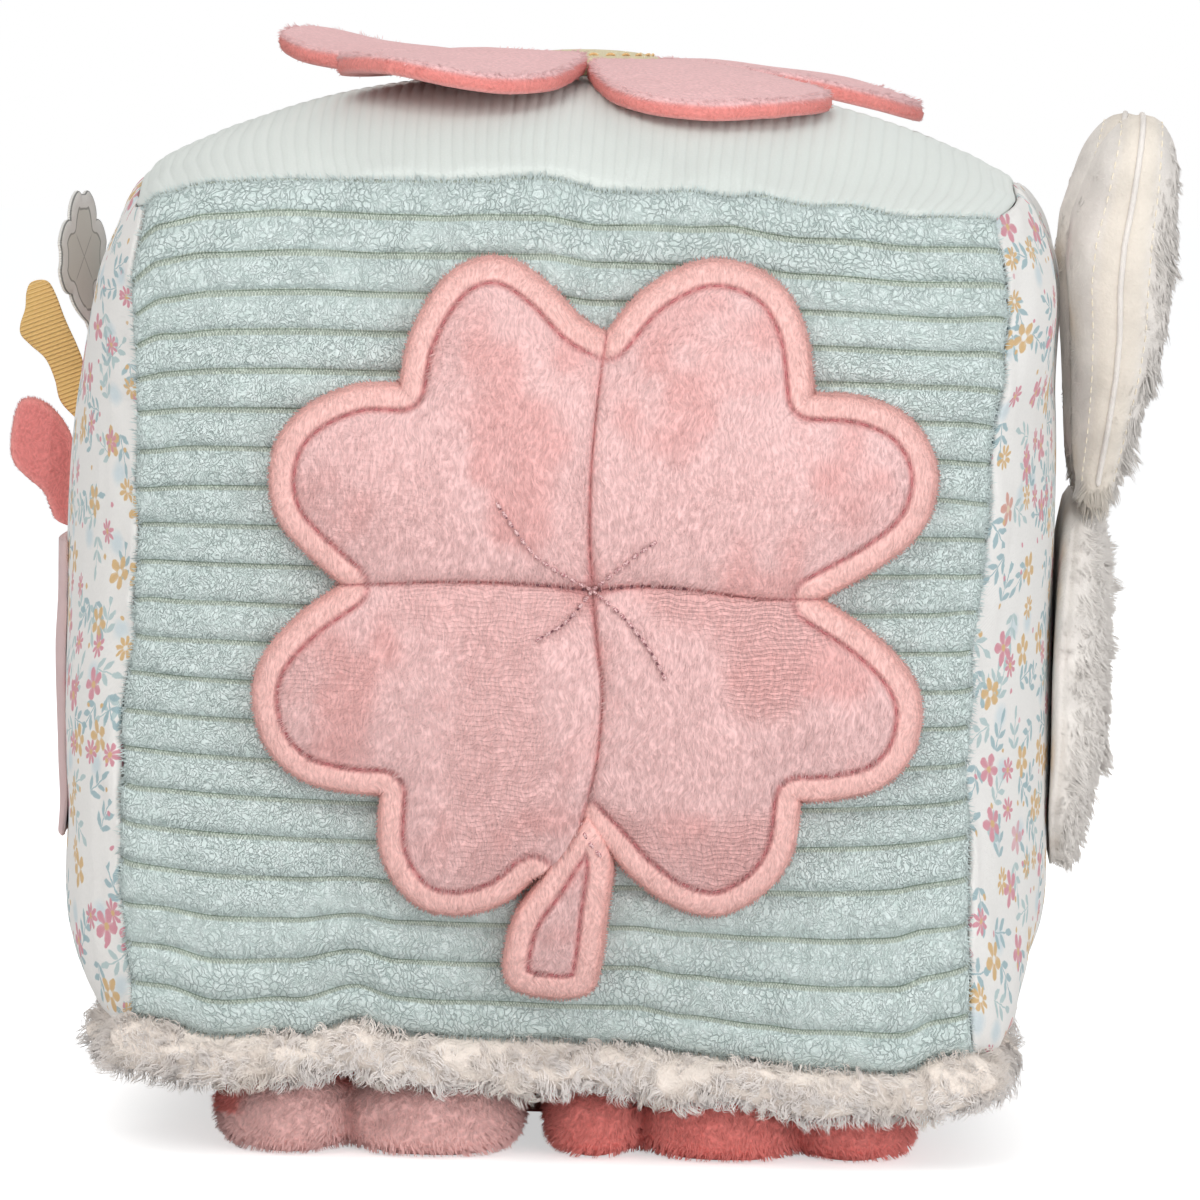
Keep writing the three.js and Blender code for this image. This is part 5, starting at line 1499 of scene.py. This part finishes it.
def makeBunny():
    fleece = fleeceLook("bunny_fleece", 7.0, 0.5)
    fibres = fibreLook("bunny_fibres")
    straw = threadLook("straw_thread", paint(0.91, 0.86, 0.77), paint(0.95, 0.92, 0.86))
    cream = tone(0.905, 0.88, 0.855)
    angle = np.linspace(0, 2 * math.pi, 161)[:-1]
    outline = joined(bunny["halfWidth"] * np.cos(angle) * (1 - bunny["cheek"] * np.sin(angle)),
                     bunny["halfHeight"] * np.sin(angle))

    def rimStand(places):
        return 2.6 - 1.8 * fade(-places[:, 1], 6, 30)

    def dome(places):
        cheek = 1 - bunny["cheek"] * places[:, 1] / bunny["halfHeight"]
        share = np.hypot(places[:, 0] / (bunny["halfWidth"] * cheek), places[:, 1] / bunny["halfHeight"])
        return np.sqrt(np.maximum(0, 1 - share ** 4))

    def headTop(places):
        edge = rimStand(places) + bunny["rim"]
        return edge + (bunny["swell"] * (1 - 0.27 * fade(-places[:, 1], 8, 30)) - edge) * dome(places)

    def onRight(u, v, height):
        stand = sideStand("right", u, bunny["level"] + v) + bunny["clearance"]
        return joined(stand + height, u, bunny["level"] + v)

    shares = np.append(np.linspace(0.05, 0.9, 26), (0.93, 0.955, 0.975, 0.99, 1.0))
    patch = paddedPatch(outline, (0, 0), shares, shares[::-1][::3],
                        headTop, lambda p: rimStand(p) * (1 - dome(p)), onRight, 2, -0.4)
    tint = evenTint(patch, cream)
    head = meshPiece("bunny_head_plush", patch, fleece, {"tint": tint})
    settlePiece(head, "root", ["bunny_head"])

    def headLean(roots, normals):
        tangled = 0.32 * lumpVectors(roots, 6, 311) + 0.3 * lumpVectors(roots, 2.2, 315)
        away = unit((roots - np.array([bunny["pileFrom"], 0, bunny["level"]])) * np.array([0.3, 1, 1]))
        return 0.55 * normals + 0.55 * away + np.array([0.1, 0, -0.55]) + tangled

    def tufted(base, seed, paintedLight=1.06):
        # the smooth matted pile stands out in tufts only on the side away from the block
        outside = fade(base["normals"][:, 0], 0.25, 0.7)
        # painted light: the tint made lighter on the side away from the block, where less light falls
        base["tint"] = np.minimum(1, base["tint"] * (1 + (paintedLight - 1) * outside[:, None]))
        tufts = bunny["tuft"] * fade(lumps(base["points"], bunny["tuftSize"], seed), 0.1, 0.7)
        return 0.15 + 0.85 * outside, 0.6 + 0.3 * outside + tufts * outside

    def facing(roots, normals):
        # on the front half the pile takes the light from the front
        return normals + 0.55 * fadeOut(normals[:, 1:2], 0, 0.5) * np.array([0.1, -0.8, 0.35])

    base = baseOf(head, patch, tint)
    weight, longer = tufted(base, 319, 1.16)
    coat = growPile("bunny_head_pile", base, bunny["pile"], fibres, 321, headLean,
                    weight * (patch["wall"] < 0.99), longer, facing)
    settlePiece(coat, "root")

    earMiddle = (0, bunny["earLength"] * bunny["earCentre"])
    outline = sameBothSides(earHalf, bunny["earHalfWidth"], bunny["earLength"], 0.9)
    rimLine = closed(outline)
    for name, side in (("bunny_ear_near", -1), ("bunny_ear_far", 1)):
        low = hinges[name]
        splay = math.radians(bunny["earSplay"]) * side

        def thickness(places, sign):
            fromEdge = closestGap(places, rimLine)
            full = slope(bunny["earThickness"], places[:, 1])
            rounded = edgeRound(fromEdge, bunny["earRound"])
            return sign * (bunny["earEdge"] + (full - bunny["earEdge"]) * rounded)

        def placeAt(u, v, height):
            outward = slope(bunny["earLean"], v)
            sideways = u * math.cos(splay) + v * math.sin(splay)
            rise = v * math.cos(splay) - u * math.sin(splay)
            return joined(low[0] + outward + height, low[1] + sideways, low[2] + rise)

        patch = paddedPatch(outline, earMiddle, shares, shares[::-1], lambda p: thickness(p, 1),
                            lambda p: thickness(p, -1), placeAt, 1, -0.3)
        tint = evenTint(patch, cream)
        # the ear's cream a little darker than the head's; along the seam darker and warmer still, painted
        # shade in the seam
        seamShare = fadeOut(closestGap(patch["flat"], rimLine), 0.3, 1.6)
        tint = 0.94 * tint * (1 - 0.07 * seamShare[:, None] * np.array([0.4, 0.8, 1.6]))
        ear = meshPiece(name + "_plush", patch, fleece, {"tint": tint})
        settlePiece(ear, name, [name])

        def earLean(roots, normals):
            tangled = 0.3 * lumpVectors(roots, 6, 331) + 0.22 * lumpVectors(roots, 2.2, 335)
            return 0.42 * normals + np.array([0.05, 0, -0.85]) + tangled

        base = baseOf(ear, patch, tint)
        weight, longer = tufted(base, 339)
        atRoot = fadeOut(patch["flat"][:, 1], 3, 11)
        weight = np.maximum(weight * (0.1 + 0.9 * fade(closestGap(patch["flat"], rimLine), 0.8, 2.6)), atRoot)
        longer = np.maximum(longer, 1.5 * atRoot)
        coat = growPile(name + "_pile", base, bunny["pile"], fibres, 341 + side, earLean, weight, longer,
                        facing)
        settlePiece(coat, name)

        # the seam round the ear: a soft welt with sewing along both sides of it
        line = outline[6:-6]
        zero = np.zeros(len(line))
        welt = spindles(placeAt(line[:, 0], line[:, 1], zero)[None], bunny["welt"], 8)
        # painted shade: the welt a little darker than the ear's cream
        piece = meshPiece(name + "_welt", welt, fleece, {"tint": evenTint(welt, cream * 0.96)},
                          welt["normals"])
        settlePiece(piece, name)
        inset = insetLine(line, np.array(earMiddle), bunny["stitchAside"])
        runs = []
        for sign in (1, -1):
            spots = placeAt(inset[:, 0], inset[:, 1], thickness(inset, sign))
            runs.append((spots, unit(spots - placeAt(np.zeros(1), np.full(1, 34.0), np.zeros(1)))))
        piece = threadPiece(name + "_stitches", runs,
                            {"pitch": 2.1, "fill": 0.8, "width": 0.3, "rise": 0.2, "sunk": 0.05}, straw)
        settlePiece(piece, name)


makeBunny()
print("bunny sewn on")


# Flap and tags on the left side

flap = {"topLevel": 106.0, "length": 54.0, "halfWidth": 30.0, "corner": 9.0, "rim": 1.35, "swell": 0.35,
        "clearance": -0.15, "stitchFrom": 3.2, "stitchDepth": 0.45, "stitchWidth": 0.5, "rimRound": 1.2}
tags = {
    "plush_tab": {"half": 2.5, "middle": (6.0, 15.5), "outline": [
        (0, 0.4), (0, 7), (0, 15), (1.2, 18.3), (3.8, 21.4), (6.9, 23.4), (9.6, 23.6), (10.9, 21.4),
        (11.3, 15.2), (10.4, 11.8), (8.2, 9.5), (4.9, 6.8), (3.6, 4.2), (2.4, 1.6)]},
    "ribbon_tag": {"half": 1.1, "middle": (6.0, 16.0), "outline": [
        (0, 0), (0, 5), (0.6, 10), (2.2, 13.4), (5.2, 18.2), (8.0, 22.8), (10.4, 25.4), (13.0, 25.2),
        (13.4, 23.4), (12.9, 20.4), (13.2, 17.6), (12.8, 15.6), (10.6, 13.6), (7.6, 11.2), (5.3, 7.4),
        (3.6, 3.4)]},
}
cloverTag = {"back": 16.0, "radius": 10.6, "waist": 0.72, "tall": 1.2, "stem": 14.6, "stemHalf": 2.0,
             "thickness": 0.9, "lean": 0.02, "turn": 19.0, "gap": 0.9, "stand": 2.2, "level": 142.0}


def makeFlap():
    straight, corner, width = flap["length"] - flap["corner"], flap["corner"], flap["halfWidth"]
    angle = np.linspace(0, math.pi / 2, 16)
    side = joined(np.full(40, width), np.linspace(0, straight, 40))
    bend = joined(width - corner * (1 - np.cos(angle)), straight + corner * np.sin(angle))[1:]
    bottom = joined(np.linspace(width - corner, 0, 20), np.full(20, flap["length"]))[1:]
    half = np.vstack([side, bend, bottom])
    topEdge = joined(np.linspace(-width, width, 52), np.zeros(52))[1:-1]
    outline = np.vstack([mirrored(half), topEdge])
    sewn = mirrored(half)

    def placeAt(u, v, height):
        level = flap["topLevel"] - v
        wall = sideStand("left", u, level)
        sway = 0.5 * lumps(joined(u, v, v * 0), 19, 401) * fade(v, 4, 20)
        return joined(-(wall + flap["clearance"] + height + sway), u, level)

    def topAt(places):
        fromEdge = closestGap(places, sewn)
        groove = flap["stitchDepth"] * np.exp(-((fromEdge - flap["stitchFrom"]) / flap["stitchWidth"]) ** 2)
        rounded = edgeRound(fromEdge, flap["rimRound"])
        return flap["rim"] * (0.7 + 0.3 * rounded) + flap["swell"] * fade(fromEdge, 4, 14) - groove

    shares = np.append(np.linspace(0.05, 0.8, 20), np.linspace(0.82, 1, 22))
    patch = paddedPatch(outline, (0, flap["length"] / 2), shares, (1.0, 0.95, 0.8, 0.5, 0.2), topAt, noHeight,
                        placeAt, 3, 0.35)
    cotton = wovenLook("pale_pink_cotton", paint(0.965, 0.855, 0.85), paint(0.93, 0.80, 0.795), 0.55, 0.6)
    cloth = joined(patch["flat"][:, 0], patch["flat"][:, 1] + patch["height"], patch["height"])
    piece = meshPiece("side_flap_page", patch, cotton, {"cloth": cloth})
    settlePiece(piece, "side_flap", ["side_flap"])
    line = insetLine(sewn, np.array([0, flap["length"] / 2]), flap["stitchFrom"])
    spots = placeAt(line[:, 0], line[:, 1], topAt(line))
    thread = threadLook("pink_thread", paint(0.84, 0.64, 0.65), paint(0.93, 0.80, 0.80))
    stitches = threadPiece("side_flap_stitches", [standing(spots, (-1, 0, 0))],
                           {"pitch": 2.4, "fill": 0.76, "width": 0.36, "rise": 0.2, "sunk": 0.02}, thread)
    settlePiece(stitches, "side_flap")


def makeUprightTags():
    coral = plushLook("coral_plush", (2.2, 3.0, 1.6), depth=0.25, streak=(0.86, 1.1))
    mustard = wovenLook("mustard_ribbon", paint(0.95, 0.79, 0.52), paint(0.91, 0.735, 0.455), 0.85, 0.4,
                        depth=0.16)

    def tabLean(roots, normals):
        return 0.6 * normals + [-0.35, 0, 0.65] + 0.12 * lumpVectors(roots, 4, 455)

    for name, tag in tags.items():
        root = hinges[name]
        outline = smoothPath(tag["outline"] + tag["outline"][:1], 0.45)[:-1]
        rimLine = closed(outline)

        def halfThickness(places, sign):
            full = 0.45 + (tag["half"] - 0.45) * np.clip(places[:, 0] / 4, 0, 1)
            rounded = edgeRound(closestGap(places, rimLine), 2.6)
            return sign * full * (0.55 + 0.45 * rounded)

        def placeAt(u, v, height):
            wall = sideStand("left", root[1], root[2] + v) - sideStand("left", root[1], root[2])
            ripple = 0.0 if tag["half"] > 2 else 0.8 * np.sin(v / 4.2) * np.clip(u / 5, 0, 1)
            return joined(root[0] - wall - u, root[1] + height + ripple, root[2] + v)

        rings = np.linspace(0.06, 1, 26)
        patch = paddedPatch(outline, tag["middle"], rings, rings[::-1], lambda p: halfThickness(p, 1),
                            lambda p: halfThickness(p, -1), placeAt, 2, 0.15)
        if name == "plush_tab":
            shade = fade(closestGap(patch["flat"], rimLine), 0.1, 1.4)
            tint = blend(tone(0.93, 0.60, 0.58), tone(0.885, 0.535, 0.52), shade)
            piece = meshPiece("plush_tab_pad", patch, coral, {"tint": tint})
            settlePiece(piece, name, [name])
            nap = dict(clover["nap"], perSquare=5.0, length=0.6, width=0.12)
            coat = growPile("plush_tab_nap", baseOf(piece, patch, tint), nap, roseFibres, 451, tabLean)
            settlePiece(coat, name)
        else:
            cloth = np.column_stack([patch["flat"], patch["height"]])
            piece = meshPiece("ribbon_tag_loop", patch, mustard, {"cloth": cloth})
            settlePiece(piece, name, [name])
            float(flatArea(outline)) * mm * mm


def makeCloverTag():
    stemAngle = math.asin(cloverTag["stemHalf"] / (cloverTag["radius"] * cloverTag["waist"]))
    swing = np.linspace(stemAngle, 2 * math.pi - stemAngle, 150)
    angle = -math.pi / 2 - swing
    # a leaf above, one on each side and one below, each with a small dent at its end
    lobe = cloverTag["waist"] + (1 - cloverTag["waist"]) * np.abs(np.cos(2 * angle)) ** 0.5
    lobe -= 0.09 * np.exp(-((np.abs(np.cos(2 * angle)) - 1) / 0.05) ** 2)
    circle = joined(np.cos(angle), cloverTag["tall"] * np.sin(angle)) * (cloverTag["radius"] * lobe)[:, None]
    stem = np.linspace(0, 1, 12)[:, None]
    low = np.array([-cloverTag["stemHalf"], -cloverTag["stem"]])
    up = circle[-1] + (low * [-1, 1] - circle[-1]) * stem
    down = low + (circle[0] - low) * stem
    outline = np.vstack([circle, up[1:], down[:-1]])
    turn = math.radians(cloverTag["turn"])
    wall = sideStand("left", cloverTag["back"], cloverTag["level"])

    def placeAt(u, v, height):
        rise = v + cloverTag["stem"]
        outward = cloverTag["gap"] + cloverTag["stand"] * fade(rise, 0, 9) + height
        outward = outward + cloverTag["lean"] * rise - u * math.sin(turn)
        return joined(-(wall + outward), cloverTag["back"] + u * math.cos(turn), cloverTag["level"] + rise)

    def topAt(places):
        return cloverTag["thickness"] * (0.8 + 0.2 * fade(closestGap(places, outline), 0, 0.8))

    rings = np.linspace(0.06, 1, 26)
    patch = paddedPatch(outline, (0, 0), rings, (1.0, 0.8, 0.5, 0.25), topAt, noHeight, placeAt, 2, 0.1)
    edge = closestGap(patch["flat"], closed(outline)) - fade(patch["wall"], 0.1, 0.5)
    piece = meshPiece("clover_tag_twill", patch, greyTwillLook(),
                      {"cloth": np.column_stack([patch["flat"], edge])})
    settlePiece(piece, "clover_tag", ["clover_tag"])
    float(flatArea(outline)) * mm * mm


makeFlap()
makeUprightTags()
makeCloverTag()
print("flap and tags sewn on")


# Butterfly under the block: stuffed body and four two-lobed wings

butterfly = {"across": 2.5, "halfLength": 42.0, "halfWidth": 8.0, "height": 15.4, "rimLevel": 7.0,
             "wingRise": 7.0, "rootGap": 0.5, "bodyRound": 7.5, "wingRound": 10.5, "crease": 0.24,
             "creaseWidth": 2.6,
             "nap": {"length": 1.9, "width": 0.2, "sunk": 0.2, "stray": 0.1, "lock": 5, "gather": 0.4,
                     "tintVary": 0.05, "softness": 0.93}}
palePink, coralPink = tone(0.985, 0.79, 0.77), tone(0.97, 0.57, 0.54)
# wing outlines: across from the wing's middle and out from the body
wingShapes = {
    "left": {"middle": (0, 33), "notches": (-6.2,), "outline": [
        (-14, 0), (-20, 9), (-26, 24), (-29.6, 38), (-28, 50), (-22, 57), (-15, 58.5), (-9.5, 56.5),
        (-6.2, 51.5), (-3, 55.5), (4, 59), (12, 59), (19, 56), (23.5, 49), (24.2, 40), (22, 26), (18, 10),
        (13, 0)]},
    "right": {"middle": (-3, 28), "notches": (-17.3, 10.2), "outline": [
        (-14, 0), (-22, 9), (-29, 22), (-33.5, 36), (-34.5, 47), (-31.5, 54), (-26.5, 56.5), (-20.5, 55),
        (-17.3, 50), (-14, 54.5), (-6, 58.5), (2, 58.2), (7.5, 55.5), (10.2, 51), (13.5, 54), (19, 56),
        (25, 54.5), (30, 48.5), (31, 40), (29.5, 30), (25, 18), (19, 8), (14, 0)]},
}


def makeButterfly():
    plush = plushLook("wing_plush", (1.2, 1.2, 0.9), depth=0.5)
    level, rise = butterfly["rimLevel"], butterfly["wingRise"]
    angle = np.linspace(0, 2 * math.pi, 121)[:-1]
    outline = joined(butterfly["halfLength"] * np.sign(np.cos(angle)) * np.abs(np.cos(angle)) ** 0.8,
                     butterfly["halfWidth"] * np.sign(np.sin(angle)) * np.abs(np.sin(angle)) ** 0.6)

    def dome(places):
        return edgeRound(closestGap(places, closed(outline)), butterfly["bodyRound"])

    rings = np.append(np.linspace(0.06, 0.9, 16), (0.95, 0.98, 1.0))

    def topAt(places):
        return level + 0.4 + (butterfly["height"] - level - 0.6) * dome(places)

    def bottomAt(places):
        return np.maximum(0.2, level - 0.4 - (level + 0.3) * dome(places))

    patch = paddedPatch(outline, (0, 0), rings, rings[::-1], topAt, bottomAt,
                        lambda u, v, h: joined(butterfly["across"] + u, v, h), 1, -0.2)
    tint = evenTint(patch, coralPink * 0.98)
    body = meshPiece("butterfly_body_plush", patch, plush, {"tint": tint})
    settlePiece(body, "root", ["butterfly_body"])

    for name, shape, direction, hue, other in (
            ("wing_near_left", "left", -1, palePink, coralPink),
            ("wing_near_right", "right", -1, coralPink, coralPink),
            ("wing_far_left", "left", 1, palePink, coralPink),
            ("wing_far_right", "right", 1, coralPink, coralPink)):
        sewn = smoothPath(wingShapes[shape]["outline"], 0.9)
        outline = np.vstack([sewn, np.linspace(sewn[-1], sewn[0], 30)[1:-1]])
        centreX = hinges[name][0]
        notches = wingShapes[shape]["notches"]

        def halfRise(places):
            fromEdge = closestGap(places, sewn)
            rounded = edgeRound(fromEdge, butterfly["wingRound"])
            swell = np.clip(places[:, 1] / 15, 0, 1)
            crease = np.ones(len(places))
            for notch in notches:
                share = np.exp(-(np.abs(places[:, 0] - notch) / butterfly["creaseWidth"]) ** 1.3)
                crease -= butterfly["crease"] * share * fade(places[:, 1], 10, 44)
            return 0.5 + (rise * (0.15 + 0.85 * rounded) * crease) * (0.1 + 0.9 * swell)

        def placeAt(u, v, height):
            soft = 0.5 * lumps(joined(u, v, height * 0), 12, 503) * (height > level)
            return joined(centreX + u, direction * (butterfly["halfWidth"] + butterfly["rootGap"] + v),
                          np.maximum(0.15, height + soft))

        rings = np.append(np.linspace(0.05, 0.8, 20), np.linspace(0.83, 1, 14))
        patch = paddedPatch(outline, wingShapes[shape]["middle"], rings, rings[::-1],
                            lambda p: level + halfRise(p), lambda p: level - halfRise(p), placeAt, 2, 0.2)
        slantwise = patch["flat"][:, 1] + 0.25 * patch["flat"][:, 0]
        behind = fade(-slantwise, -50, -46) * (patch["height"] > level)
        tint = blend(hue, other, behind)
        # painted shade along the sewn edge of the wing
        seam = np.exp(-(closestGap(patch["flat"], sewn) / 0.7) ** 2)[:, None]
        tint = tint * (1 - 0.12 * seam)
        piece = meshPiece(name + "_pad", patch, plush, {"tint": tint})
        settlePiece(piece, name, [name])

        def lean(roots, normals):
            away = unit(joined((roots[:, 0] - centreX) * 0.5, roots[:, 1] * 0.4, roots[:, 2] * 0 - 14))
            tangled = 0.45 * lumpVectors(roots, 7, 521)
            return 0.3 * normals + 0.85 * away + tangled + 0.2 * lumpVectors(roots, 2, 525)

        def facing(roots, normals):
            return 0.7 * normals + np.array([0, 0.55 * direction, 0.45]) + 0.2 * lumpVectors(roots, 3, 527)

        near = direction < 0
        visible = (patch["points"][:, 2] > 0.9) * (0.25 + 0.75 * fade(patch["flat"][:, 1], 30, 42))
        coat = growPile(name + "_nap", baseOf(piece, patch, tint),
                        dict(butterfly["nap"], perSquare=3.4 if near else 1.4), roseFibres, 541 + int(near),
                        lean, visible, facing=facing)
        settlePiece(coat, name)


makeButterfly()
print("butterfly sewn on")
